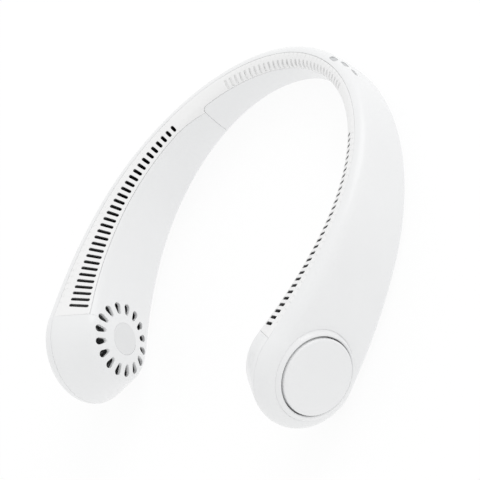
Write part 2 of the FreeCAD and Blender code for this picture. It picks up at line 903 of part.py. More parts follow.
def row_frame(distance):
    """Frame on the skin at the row of slots: x across the strip, z out of the skin."""
    section = Section(distance)
    point, normal = section.row_walk(0.0)
    across = section.direction(Vector(normal.y, -normal.x, 0))
    return facing(section.spot(point), across, section.direction(normal))


def outlet_cuts():
    """Outlet slots through the strip of both arms."""
    through = size.wall + size.overrun
    for step in range(int(size.slot_count)):
        distance = size.first_slot + size.slot_pitch * step
        slot = slot_prism(slot_length(distance), size.slot_width, -through, size.overrun)
        yield from both_sides(placed(slot, row_frame(distance)))


def grille_cuts():
    """Ring of tapered slots through the dome of a pod, in the pod's frame."""
    outline = slot_outline(
        size.grille_inner, size.grille_width_inner, size.grille_outer, size.grille_width_outer,
        size.slot_end_facets,
    )
    slot = prism(outline, -size.inner_reach_pod - size.overrun, -size.overrun)
    for step in range(int(size.grille_slots)):
        turn = 360 * (step + 1 / 2) / size.grille_slots
        yield placed(slot, Placement(Vector(), Rotation(UP, turn)))


def arm_block(ahead=0.0):
    """Block around the right arm, up to the seam of the neck panel."""
    section = Section(float(size.panel_start))
    reach = float(size.half_width + size.pod_radius)
    block = Part.makeBox(2 * reach, 2 * reach, 2 * reach, Vector(-reach, ahead - 2 * reach, -reach))
    return placed(block, Placement(section.origin, Rotation(section.outward, section.tangent, UP, "XYZ")))


def label_seat():
    """Height of the flat seat in the dome that carries the hub label."""
    bulge = float(size.inner_bulge_pod)
    sag = bulge - math.sqrt(bulge**2 - float(size.label_radius) ** 2)
    return sag - float(size.inner_reach_pod) + float(size.label_depth)


def port_cut():
    """Mouth of the charging socket through the rim of the right pod, in the pod's frame."""
    clear = size.port_clearance * 2
    mouth = slot_prism(
        size.port_width + clear, size.port_height + clear,
        size.board_side / 2, 2 * size.pod_radius, size.port_end_facets,
    )
    return placed(mouth, Placement(Vector(0, 0, PORT_MIDDLE), Rotation(Vector(1, 0, 0), 90)))


def inner_shells():
    """Outlet strip, neck panel and the two inner shells, parted from one wall."""
    right, left = pod_frame(RIGHT), pod_frame(LEFT)
    wall = band_wall("inner_run")
    add_shape("outlet_strip", wall.common(strip_tool()).cut(list(outlet_cuts())))
    rest = wall.cut(strip_tool(size.seam_gap))
    add_shape("neck_panel", rest.cut(both_sides(arm_block(float(size.seam_gap)))))
    grille = [placed(cut, right) for cut in grille_cuts()]
    arm = rest.common(arm_block()).cut(grille)
    add_shape("inner_shell_right", arm.cut(placed(port_cut(), right)))
    seat = cylinder(size.label_radius + size.label_fit, -size.inner_reach_pod - size.overrun, label_seat())
    add_shape("inner_shell_left", mirror_image(arm).cut(placed(seat, left)))


# Button, cap and label

def round_cover(label, side, lift, hook_gap, stem):
    """Disc in a pod's well, with hooks under the well's floor."""
    under = WELL_FLOOR + lift
    profile = [
        (0.0, BUTTON_FACE),
        (BUTTON_RADIUS - size.button_edge, BUTTON_FACE),
        (BUTTON_RADIUS, BUTTON_FACE - size.button_edge),
        (BUTTON_RADIUS, under),
    ]
    if stem:
        profile += [(size.stem_radius, under), (size.stem_radius, PLUNGER_TOP), (0.0, PLUNGER_TOP)]
    else:
        profile.append((0.0, under))
    cover = Piece(label, mix_frame(well_frame(side), 360 * HOOK_TURN_SHARE))
    cover.turn(profile)
    nose_top = FLOOR_UNDER - hook_gap
    leg_end = nose_top - size.hook_nose_height
    near, far = size.hook_radius - size.hook_thickness / 2, size.hook_radius + size.hook_thickness / 2
    leg = cover.sketch(height=leg_end)
    draw_rectangle(leg, near, -size.hook_width / 2, far, size.hook_width / 2)
    nose = cover.sketch(height=leg_end)
    draw_rectangle(nose, near, -size.hook_width / 2, far + size.hook_nose, size.hook_width / 2)
    features = [cover.pad(leg, under - leg_end), cover.pad(nose, size.hook_nose_height)]
    cover.repeat_round(features, leg, HOOKS)


def hub_label():
    """Bare disc in the dome of the left pod."""
    seat = label_seat()
    disc = DOCUMENT.addObject("Part::Cylinder", "hub_label")
    disc.Label = "hub_label"
    disc.setExpression("Radius", size.label_radius.text)
    disc.setExpression("Height", size.label_depth.text)
    SUBPARTS.append((disc, mix_frame(pod_frame(LEFT), lift=seat - size.label_depth)))


# Control board and what it carries

def control_board():
    """Square board with a tongue down to the charging socket."""
    board = Piece("control_board", pod_frame(RIGHT))
    outline = board.sketch(height=BOARD_UNDER)
    wide, half = size.board_side / 2, size.tongue_width / 2
    draw_polygon(outline, [
        (wide, wide), (-wide, wide), (-wide, -wide), (-half, -wide), (-half, -size.tongue_reach),
        (half, -size.tongue_reach), (half, -wide), (wide, -wide),
    ])
    board.pad(outline, size.board_thickness)


def button_switch():
    switch = Piece("button_switch", well_frame(RIGHT))
    case = switch.sketch(height=BOARD_TOP)
    half = size.switch_side / 2
    draw_rectangle(case, -half, -half, half, half)
    switch.pad(case, size.switch_height)
    well = switch.sketch(height=SWITCH_TOP)
    draw_circle(well, size.plunger_radius + size.plunger_fit)
    reach = PLUNGER_TOP - size.plunger_length - size.button_travel - size.plunger_floor
    switch.pocket(well, SWITCH_TOP - reach)


def switch_plunger():
    plunger = DOCUMENT.addObject("Part::Cylinder", "switch_plunger")
    plunger.Label = "switch_plunger"
    plunger.setExpression("Radius", size.plunger_radius.text)
    plunger.setExpression("Height", size.plunger_length.text)
    SUBPARTS.append((plunger, mix_frame(well_frame(RIGHT), lift=PLUNGER_TOP - size.plunger_length)))


def usb_port():
    """Charging socket: a round-ended metal shell with its contact tongue, open to the pod's rim."""
    rim = Section(0.0)
    edge = [point for point in rim.inner_run() if point.y > 0 and point.x > PORT_MIDDLE][-1]
    mouth = edge.y - math.tan(rim.strip_slope) * (edge.x - PORT_MIDDLE) - size.port_recess
    spin = Rotation(Vector(1, 0, 0), 90)
    place = pod_frame(RIGHT).multiply(Placement(Vector(0, -mouth + size.port_length, PORT_MIDDLE), spin))
    port = Piece("usb_port", place)
    shell = port.sketch()
    draw_slot(shell, size.port_width, size.port_height)
    port.pad(shell, size.port_length)
    bore = port.sketch(height=size.port_length)
    draw_slot(bore, size.port_width - size.port_shell * 2, size.port_height - size.port_shell * 2)
    port.pocket(bore, size.port_length - size.port_shell)
    tongue = port.sketch()
    half, rise = size.port_tongue_width / 2, size.port_tongue / 2
    draw_rectangle(tongue, -half, -rise, half, rise)
    port.pad(tongue, size.port_tongue_length)


# Blower

def motor_bracket(side):
    """Three-armed bracket between the pod's posts and the motor."""
    place = mix_frame(pod_frame(side), 360 * BOSS_TURN_SHARE)
    bracket = Piece(f"motor_bracket_{SIDE_NAMES[side]}", place)
    arm = bracket.sketch(height=BRACKET_UNDER)
    half = size.bracket_arm / 2
    draw_rectangle(arm, -half, -half, size.boss_circle + size.boss_side / 2, half)
    bracket.repeat_round([bracket.pad(arm, size.bracket_thickness)], arm, HOOKS)


def blower_motor(side):
    """Motor can on the bracket, with the bore that its shaft turns in."""
    motor = Piece(f"motor_{SIDE_NAMES[side]}", mix_frame(pod_frame(side), lift=MOTOR_END))
    bore = size.shaft_radius + size.shaft_fit
    depth = size.shaft_depth + size.motor_clearance
    motor.turn([
        (0.0, depth),
        (bore, depth),
        (bore, 0.0),
        (size.motor_radius, 0.0),
        (size.motor_radius, size.motor_length),
        (0.0, size.motor_length),
    ])


def motor_shaft(side):
    name = f"motor_shaft_{SIDE_NAMES[side]}"
    shaft = DOCUMENT.addObject("Part::Cylinder", name)
    shaft.Label = name
    shaft.setExpression("Radius", size.shaft_radius.text)
    shaft.setExpression("Height", (SHAFT_TOP - HUB_END).text)
    SUBPARTS.append((shaft, mix_frame(pod_frame(side), lift=HUB_END)))


def draw_blade(sketch):
    """Blade section bent in the middle, between the wheel's eye and its rim."""
    near, far = size.wheel_inner, size.blade_reach
    middle, bow, thick = (near + far) / 2, size.blade_bow, size.blade_thickness
    draw_polygon(sketch, [
        (near, 0.0), (middle, bow), (far, 0.0), (far, thick), (middle, bow + thick), (near, thick),
    ])


def draw_sector(sketch, near, far, count):
    """One sector of a ring of flats, centred on the x axis."""
    half_share = math.tan(math.pi / count)
    inner, outer = near * half_share, far * half_share
    draw_polygon(sketch, [(near, -inner), (far, -outer), (far, outer), (near, inner)])


def impeller(side):
    """Blower wheel of flats: a hub over the motor and a back plate, with one bent blade on each flat."""
    wheel = Piece(f"impeller_{SIDE_NAMES[side]}", mix_frame(pod_frame(side), lift=BLADE_END))
    hub = size.motor_radius + size.motor_clearance
    rim = hub + size.hub_wall
    top, end = WHEEL_TOP - BLADE_END, HUB_END - BLADE_END
    features = []
    for near, far, low, high in (
        (size.shaft_radius, rim, end, end + size.hub_wall),
        (hub, rim, end, top),
        (hub, size.wheel_radius, size.blade_height, top),
    ):
        sector = wheel.sketch(height=low)
        draw_sector(sector, near, far, size.blade_count)
        features.append(wheel.pad(sector, high - low))
    blade = wheel.sketch()
    draw_blade(blade)
    features.append(wheel.pad(blade, size.blade_height))
    wheel.repeat_round(features, blade, size.blade_count)


# Arms

def arm_frame(side):
    """Frame of an arm's battery tray, turned end for end on the left."""
    frame = tray_frame()
    if side == RIGHT:
        return frame
    axes = [mirrored(frame.Rotation.multVec(axis)) for axis in (Vector(1, 0, 0), UP)]
    along, outward = axes[0].negative(), axes[1]
    return Placement(mirrored(frame.Base), Rotation(along, outward.cross(along), outward, "XYZ"))


def battery_tray(side):
    """Open tray on the posts of the outer wall."""
    back = TRAY_BACK - size.tray_wall - size.tray_lip
    tray = Piece(f"battery_tray_{SIDE_NAMES[side]}", mix_frame(arm_frame(side), lift=back))
    half_length = size.cell_length / 2 + size.tray_fit
    half_height = size.cell_height / 2 + size.tray_fit
    block = tray.sketch()
    wide, tall = half_length + size.tray_wall, half_height + size.tray_wall
    draw_rectangle(block, -wide, -tall, wide, tall)
    tray.pad(block, size.tray_lip + size.tray_wall)
    room = tray.sketch()
    draw_rectangle(room, -half_length, -half_height, half_length, half_height)
    tray.pocket(room, size.tray_lip, upward=True)


def battery(side):
    """Flat cell with bevelled long edges."""
    spin = Rotation(Vector(0, 1, 0), UP, Vector(1, 0, 0), "XYZ")
    place = arm_frame(side).multiply(Placement(Vector(-size.cell_length / 2, 0, 0), spin))
    cell = Piece(f"battery_{SIDE_NAMES[side]}", place)
    section = cell.sketch()
    wide, deep, bevel = size.cell_height / 2, size.cell_thickness / 2, size.cell_bevel
    draw_polygon(section, [
        (wide, deep - bevel), (wide - bevel, deep), (bevel - wide, deep), (-wide, deep - bevel),
        (-wide, bevel - deep), (bevel - wide, -deep), (wide - bevel, -deep), (wide, bevel - deep),
    ])
    cell.pad(section, size.cell_length)


# Assembly

def build():
    outer_shell()
    inner_shells()
    indicator_lenses()
    travel = size.button_travel + size.button_clearance
    round_cover("power_button", RIGHT, travel, size.button_clearance, stem=True)
    round_cover("end_cap", LEFT, size.cap_clearance, size.cap_clearance, stem=False)
    hub_label()
    control_board()
    button_switch()
    switch_plunger()
    usb_port()
    for side in (RIGHT, LEFT):
        motor_bracket(side)
        blower_motor(side)
        motor_shaft(side)
        impeller(side)
        battery_tray(side)
        battery(side)


def rest_placement():
    """Placement that lays the fan on its lower edge, with the middle of its footprint at the origin."""
    tilt = Placement(Vector(), Rotation(Vector(1, 0, 0), -math.degrees(LOWER_SLOPE)))
    laid = Part.makeCompound([placed(item.Shape, tilt.multiply(place)) for item, place in SUBPARTS])
    box = laid.optimalBoundingBox(False)
    return Placement(Vector(-box.Center.x, -box.Center.y, -box.ZMin), Rotation()).multiply(tilt)


def check():
    for item in DOCUMENT.Objects:
        if {"Invalid", "Error"} & set(item.State):
            raise RuntimeError(f"{item.Label} did not build: {item.State}")
    for item, place in SUBPARTS:
        if item.Shape.isNull() or not item.Shape.isValid():
            raise RuntimeError(f"{item.Label} has no valid shape")


def write():
    os.makedirs("parts", exist_ok=True)
    for item, place in SUBPARTS:
        item.Shape.exportStep(f"parts/{item.Label}.step")


build()
DOCUMENT.recompute()
REST = rest_placement()
for part, design_place in SUBPARTS:
    part.Placement = REST.multiply(design_place)
DOCUMENT.recompute()
check()
write()
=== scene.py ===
import json
import math
from bisect import bisect_right
from functools import partial

import bmesh
import bpy
from bpy.props import FloatProperty, FloatVectorProperty, IntProperty, PointerProperty
from bpy.types import Operator, Panel, PropertyGroup
from mathutils import Matrix, Vector


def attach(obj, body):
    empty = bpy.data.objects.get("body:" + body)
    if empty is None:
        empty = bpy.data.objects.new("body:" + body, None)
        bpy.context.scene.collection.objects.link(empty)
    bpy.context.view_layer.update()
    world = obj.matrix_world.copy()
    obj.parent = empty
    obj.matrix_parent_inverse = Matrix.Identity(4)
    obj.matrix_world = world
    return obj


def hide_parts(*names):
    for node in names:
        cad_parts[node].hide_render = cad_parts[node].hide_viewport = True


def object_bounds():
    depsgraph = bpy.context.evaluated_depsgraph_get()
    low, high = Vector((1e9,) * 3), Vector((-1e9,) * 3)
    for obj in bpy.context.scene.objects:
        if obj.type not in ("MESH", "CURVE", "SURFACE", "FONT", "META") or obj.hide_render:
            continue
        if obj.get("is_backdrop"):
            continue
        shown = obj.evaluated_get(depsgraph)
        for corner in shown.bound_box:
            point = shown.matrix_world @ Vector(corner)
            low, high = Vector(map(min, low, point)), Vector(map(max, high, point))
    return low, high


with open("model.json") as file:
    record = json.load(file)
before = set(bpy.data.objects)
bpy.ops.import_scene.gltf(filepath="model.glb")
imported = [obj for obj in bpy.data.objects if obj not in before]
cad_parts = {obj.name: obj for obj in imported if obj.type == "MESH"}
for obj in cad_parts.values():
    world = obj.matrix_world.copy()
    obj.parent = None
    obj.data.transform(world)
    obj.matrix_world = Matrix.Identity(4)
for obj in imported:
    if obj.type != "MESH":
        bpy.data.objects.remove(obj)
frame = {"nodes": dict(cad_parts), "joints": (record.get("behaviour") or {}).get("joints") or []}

bl_info = {
    "name": "Neck Fan",
    "version": (1, 0, 0),
    "blender": (4, 5, 0),
    "location": "3D View > Sidebar > Neck Fan",
    "description": "Dresses a packed neck fan with smooth moulded shells, vents and finishes",
    "category": "Object",
}

CAD_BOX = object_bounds()
QUARTER = math.pi / 2
HALF_TURN, FULL_TURN = 2 * QUARTER, 4 * QUARTER
UP = Vector((0, 0, 1))
WHITE = (1, 1, 1)
RIGHT, LEFT = 1, -1
SIDE_NAMES = {RIGHT: "right", LEFT: "left"}

# Distances in metres and digits within which two places count as one
MERGE = 2e-6
FINE = MERGE / 10
STATION_DIGITS, TURN_DIGITS, SETTLE_DIGITS = 8, 6, 9
SETTLE_ROUNDS = 4

# Fineness of the meshes
SMOOTH_ANGLE = math.radians(35)
LATHE_STEPS, ARC_STEPS, COLLAR_STEPS, CORNER_STEPS, FACE_STEPS, FLOOR_STEPS = 128, 8, 10, 10, 12, 96
POD_STEPS = 18
POD_TURNS = [QUARTER * (1 - step / POD_STEPS) for step in range(POD_STEPS)]
ARM_STEP = 0.0016
STRIP_COLUMNS, SHELL_COLUMNS, OUTER_COLUMNS = 8, 36, 72
FRONT_ROWS, ARM_ROWS = 3, 70

# Section of a rounded edge: shares of its radius along the skin and below it
ROUND_SHARES = ((0.0, 1.0), (0.08, 0.62), (0.3, 0.29), (0.62, 0.08), (1.0, 0.0))


# Settings

def length(name, description, default):
    return FloatProperty(name=name, description=description, default=default, precision=5, unit="LENGTH")


def ends(name, description, pod, arch):
    return FloatVectorProperty(
        name=name, description=f"{description}, at a pod and at the arch", default=(pod, arch), size=2,
        precision=5, unit="LENGTH")


def location(name, description, default):
    return FloatVectorProperty(
        name=name, description=description, default=default, size=3, unit="LENGTH", subtype="TRANSLATION")


def angle(name, description, degrees):
    return FloatProperty(name=name, description=description, default=math.radians(degrees), unit="ROTATION")


def factor(name, description, default):
    return FloatProperty(name=name, description=description, default=default, min=0)


def count(name, description, default):
    return IntProperty(name=name, description=description, default=default, min=1)


def tint(name, description, default):
    return FloatVectorProperty(
        name=name, description=description, default=default, size=3, min=0, max=1, subtype="COLOR")


class FanSpine(PropertyGroup):
    """Line of the outlet slots seen from above."""
    half_width: length("Half width", "Widest point of the line, from the middle", 0.0781)
    arch_rise: length("Arch rise", "Apex of the arch, from the widest point", 0.0940)
    side_radius: length("Side radius", "Radius of the arms' sides", 0.1720)
    toe_angle: angle("Toe angle", "Angle by which the pods turn in", 16.0)
    pod_run: length("Pod run", "Straight run behind each pod's centre", 0.0113)


class FanBand(PropertyGroup):
    """Cross-section of the band, which changes from the pods to the arch."""
    pod_radius: length("Pod radius", "Radius of each pod", 0.0290)
    lower_slope: angle("Lower slope", "Slope of the lower edge", 13.35)
    wall: length("Wall", "Thickness of the shells", 0.0018)
    seam: length("Seam", "Gap between neighbouring shells", 0.00012)
    lip: length("Lip", "Round of the shells' edges", 0.00016)
    outer_reach: ends("Outer reach", "Outer face from the row of slots", 0.0207, 0.0107)
    outer_reach_power: factor("Outer reach power", "How early the outer reach shrinks", 2.5)
    inner_reach: ends("Inner reach", "Inner face from the row of slots", 0.0130, 0.0012)
    inner_reach_power: factor("Inner reach power", "How early the inner reach shrinks", 1.53)
    outer_bulge: ends("Outer bulge", "Radius of the outer face", 0.2000, 0.0770)
    inner_bulge: ends("Inner bulge", "Radius of the inner face", 0.0530, 0.0380)
    crown_round: ends("Crown round", "Upper outer edge", 0.0079, 0.0046)
    brow_round: ends("Brow round", "Upper inner edge", 0.0090, 0.0034)
    keel_round_arch: length("Keel round, arch", "Lower outer edge at the arch", 0.0030)
    sole_round_arch: length("Sole round, arch", "Lower inner edge at the arch", 0.0030)
    strip_slope_pod: angle("Strip slope, pod", "Slope of the outlet strip at a pod", 23.15)
    strip_slope_arch: angle("Strip slope, arch", "Slope of the outlet strip at the arch", 26.1)
    under_slope_arch: angle("Under slope, arch", "Slope of the underside at the arch", 10.5)
    cant_angle: angle("Cant angle", "Lean of the section at the arch", 11.27)
    cant_power: factor("Cant power", "How late the section leans", 1.84)
    cant_height: length("Cant height", "Height about which the section leans", 0.0265)


class FanOutlet(PropertyGroup):
    """Outlet strip with its slots, and the grooves over the arch."""
    start: length("Start", "Inner corner of the strip's end, from the pod's centre", 0.0026)
    skew: length("Skew", "Slant of the strip's end", 0.0025)
    border: length("Border", "Strip beyond the inner ends of the slots", 0.0016)
    first: length("First slot", "First slot from the pod's centre", 0.0071)
    pitch: length("Pitch", "From slot to slot", 0.0036)
    number: count("Slots", "Slots of each arm", 31)
    width: length("Slot width", "Width of a slot", 0.0017)
    slot_length: ends("Slot length", "Length of the nearest slot", 0.0105, 0.0038)
    rim: length("Slot rim", "Round of the slots' edges", 0.00015)
    # Below this depth the slots' walls take the painted shade finish
    slot_wall: length("Slot wall", "White part of the slots' walls", 0.0004)
    groove_number: count("Grooves", "Grooves on each half of the arch", 15)
    groove_pitch: length("Groove pitch", "From groove to groove", 0.0030)
    groove_length: length("Groove length", "Length of a groove", 0.0050)
    groove_shift: length("Groove shift", "Grooves' middle from the row towards the crown", 0.0006)
    groove_width: length("Groove width", "Width of a groove", 0.0014)
    groove_depth: length("Groove depth", "Depth of a groove", 0.0007)
    groove_border: length("Groove border", "Neck panel's edge beyond the row of grooves", 0.0024)
    panel_start: length("Panel start", "Seam of the neck panel from the pod's centre", 0.1330)
    panel_corner: length("Panel corner", "Round of the neck panel's corners", 0.0030)


class FanGrille(PropertyGroup):
    """Inlet grille and label on the domed inner face of a pod, and the charging socket's mouth."""
    number: count("Slots", "Slots of a grille", 16)
    inner: length("Inner reach", "Inner ends of the slots from the pod's axis", 0.0129)
    outer: length("Outer reach", "Outer ends of the slots from the pod's axis", 0.0189)
    width_inner: length("Inner width", "Width of a slot at its inner end", 0.0023)
    width_outer: length("Outer width", "Width of a slot at its outer end", 0.0037)
    rim: length("Slot rim", "Round of the slots' edges", 0.0003)
    label_radius: length("Label radius", "Radius of the bare disc in the dome", 0.0082)
    label_depth: length("Label depth", "Thickness of the disc", 0.0003)
    label_edge: length("Label edge", "Bevel of the disc", 0.0001)
    port_width: length("Port width", "Width of the charging socket's mouth", 0.0099)
    port_height: length("Port height", "Height of the charging socket's mouth", 0.0042)
    port_offset: length("Port offset", "Socket's middle, outward along the pod's axis", 0.0073)


class FanDisc(PropertyGroup):
    """Round covers in the collared wells of the pods' outer faces."""
    well_radius: length("Well radius", "Radius of the well", 0.0199)
    well_depth: length("Well depth", "Depth of the well", 0.0050)
    drop: length("Drop", "Well's axis below the pod's", 0.0010)
    collar_radius: length("Collar radius", "Foot of the raised collar", 0.02266)
    collar_rise: length("Collar rise", "Collar above the outer face", 0.0017)
    collar_round: length("Collar round", "Round of the collar's inner edge", 0.0007)
    collar_lean: angle("Collar lean", "Slope of the collar from the pod's axis", 37.0)
    gap: length("Gap", "Between a disc and its well", 0.0007)
    rise: length("Rise", "Disc above the outer face", 0.0018)
    edge: length("Edge", "Round of a disc's rim", 0.0010)
    hollow: length("Hollow", "Drop of a disc's face at its middle", 0.0002)
    travel: length("Travel", "Free space under the button", 0.0011)


class FanWindow(PropertyGroup):
    """Oval indicator windows on the outer face of the arch."""
    station: length("Station", "First window from the pod's centre", 0.1676)
    pitch: length("Pitch", "From window to window", 0.00675)
    number: count("Windows", "Windows in the row", 3)
    long: length("Length", "Length of a window", 0.0060)
    wide: length("Width", "Width of a window", 0.0028)
    recess: length("Recess", "Drop of a light guide below the skin", 0.00035)
    height_share: factor("Height share", "First window's height as a share of the section's", 0.945)
    drop_share: factor("Drop share", "Drop from window to window", 0.08)


class FanFinish(PropertyGroup):
    """Colours of the finishes."""
    shell: tint("Shell", "Satin white of the moulded shells", (0.855, 0.86, 0.865))
    # Painted light: the shell's white made a little brighter, for the light that falls on the strip
    strip: tint("Strip", "White of the outlet strip", (0.89, 0.89, 0.89))
    disc: tint("Disc", "White of the round covers", (0.855, 0.86, 0.865))
    label: tint("Label", "Film of the disc in the dome", (0.78, 0.785, 0.79))
    # Painted shade: near-black stands in for the shade inside the white shells and deep in their slots
    liner: tint("Liner", "Dark lining of the air ducts", (0.12, 0.12, 0.124))
    lens: tint("Lens", "Frosted light guides", (0.55, 0.56, 0.57))
    wheel: tint("Wheel", "Moulded blower wheels", (0.22, 0.225, 0.23))
    frame: tint("Frame", "Moulded brackets and trays", (0.05, 0.05, 0.052))
    metal: tint("Metal", "Plain steel", (0.55, 0.55, 0.56))
    board: tint("Board", "Solder mask of the board", (0.02, 0.10, 0.04))
    cell: tint("Cell", "Wrap of the battery cells", (0.05, 0.10, 0.22))


class FanView(PropertyGroup):
    """Camera, lights and floor."""
    azimuth: angle("Azimuth", "Camera round the fan", 75.957)
    elevation: angle("Elevation", "Camera above the floor", 40.417)
    roll: angle("Roll", "Turn of the picture", -64.94)
    eye: location("Eye", "Place of the camera", (1.349727, -0.34362, 1.20763))
    lens: FloatProperty(name="Lens", description="Focal length", default=276.96, min=1, unit="CAMERA")
    world: factor("World", "Strength of the even light from all round", 0.92)
    key: FloatProperty(name="Key", description="Power of the key lamp", default=3.6, min=0, unit="POWER")
    key_place: location("Key place", "Place of the key lamp, which faces the fan", (0.35, 1.35, 0.75))
    key_size: length("Key size", "Side of the key lamp", 0.9)
    floor: length("Floor", "Radius of the floor", 3.0)
    floor_light: factor("Floor light", "Light that the floor sends up to the fan", 0.97)
    floor_glow: factor("Floor glow", "Glow of the floor where it is seen", 0.76)
    floor_tone: tint("Floor tone", "What the seen floor throws back, for the shadow", (0.25, 0.25, 0.25))


class FanSettings(PropertyGroup):
    """Everything that shapes and colours the fan."""
    spine: PointerProperty(type=FanSpine)
    band: PointerProperty(type=FanBand)
    outlet: PointerProperty(type=FanOutlet)
    grille: PointerProperty(type=FanGrille)
    disc: PointerProperty(type=FanDisc)
    window: PointerProperty(type=FanWindow)
    finish: PointerProperty(type=FanFinish)
    view: PointerProperty(type=FanView)


def settings():
    return bpy.context.scene.neck_fan


# Shape of the band

def between(start, end, number):
    """Evenly spaced values from start to end."""
    return [start + (end - start) * step / number for step in range(number + 1)]


def polar(radius, turn):
    return Vector((radius * math.cos(turn), radius * math.sin(turn)))


def blend(pair, share):
    """Value between the first of a pair, at a share of 1, and the second, at 0."""
    first, second = pair
    return second + (first - second) * share


def heading_of(vector):
    return math.atan2(vector.y, vector.x) % FULL_TURN


def last_where(holds, high):
    """Last value from 0 to high for which a test that holds at first still does."""
    low = 0.0
    while high - low > FINE:
        middle = (low + high) / 2
        low, high = (middle, high) if holds(middle) else (low, middle)
    return low


def axes_matrix(*columns):
    """Matrix from its x, y and z axes and its origin."""
    matrix = Matrix.Identity(4)
    for number, column in enumerate(columns):
        matrix.col[number].xyz = column
    return matrix


class Spine:
    """Right half of the line of slots: a straight run, a side arc and a quarter ellipse."""
    STEPS = 2000

    def __init__(self, sizes):
        self.sizes = sizes
        self.toe = sizes.toe_angle
        self.run, self.side = sizes.pod_run, sizes.side_radius * sizes.toe_angle
        self.lengths, last = [0.0], self.ellipse(0)
        for step in range(1, self.STEPS + 1):
            spot = self.ellipse(QUARTER * step / self.STEPS)
            self.lengths.append(self.lengths[-1] + (spot - last).length)
            last = spot
        self.total = self.run + self.side + self.lengths[-1]

    def ellipse(self, turn):
        return Vector((self.sizes.half_width * math.cos(turn), self.sizes.arch_rise * math.sin(turn), 0))

    def on_side(self, turn):
        radius = self.sizes.side_radius
        reach = self.sizes.half_width - radius
        return Vector((reach + radius * math.cos(turn), radius * math.sin(turn), 0))

    def at(self, distance):
        """Point and direction, a distance from the pod's centre."""
        if distance < self.run:
            heading = Vector((math.sin(self.toe), math.cos(self.toe), 0))
            return self.on_side(-self.toe) + heading * (distance - self.run), heading
        distance -= self.run
        if distance < self.side:
            turn = distance / self.sizes.side_radius - self.toe
            return self.on_side(turn), Vector((-math.sin(turn), math.cos(turn), 0))
        turn = self.ellipse_turn(distance - self.side)
        slope = Vector((-self.sizes.half_width * math.sin(turn), self.sizes.arch_rise * math.cos(turn), 0))
        return self.ellipse(turn), slope.normalized()

    def ellipse_turn(self, distance):
        last = min(bisect_right(self.lengths, distance), self.STEPS) - 1
        share = (distance - self.lengths[last]) / (self.lengths[last + 1] - self.lengths[last])
        return QUARTER * (last + min(share, 1)) / self.STEPS


def on_line(start, facing, distance):
    return start + polar(distance, facing + QUARTER), facing


def on_arc(centre, radius, start, distance):
    facing = start + distance / radius
    return centre + polar(radius, facing), facing


class Chain:
    """A convex run of arcs and the straight lines between them, measured by length."""

    def __init__(self, arcs):
        self.parts, self.length = [], 0.0
        last = None
        for centre, radius, start, end in arcs:
            first = centre + polar(radius, start)
            if last and (first - last).length > MERGE:
                self.add((first - last).length, partial(on_line, last, start))
            self.add(radius * (end - start), partial(on_arc, centre, radius, start))
            last = centre + polar(radius, end)

    def add(self, reach, place):
        self.parts.append((self.length, reach, place))
        self.length += reach

    def at(self, distance):
        """Point and outward normal at a distance along the run."""
        for start, reach, place in self.parts:
            if distance <= start + reach:
                break
        spot, facing = place(min(max(distance - start, 0), reach))
        return spot, polar(1, facing)


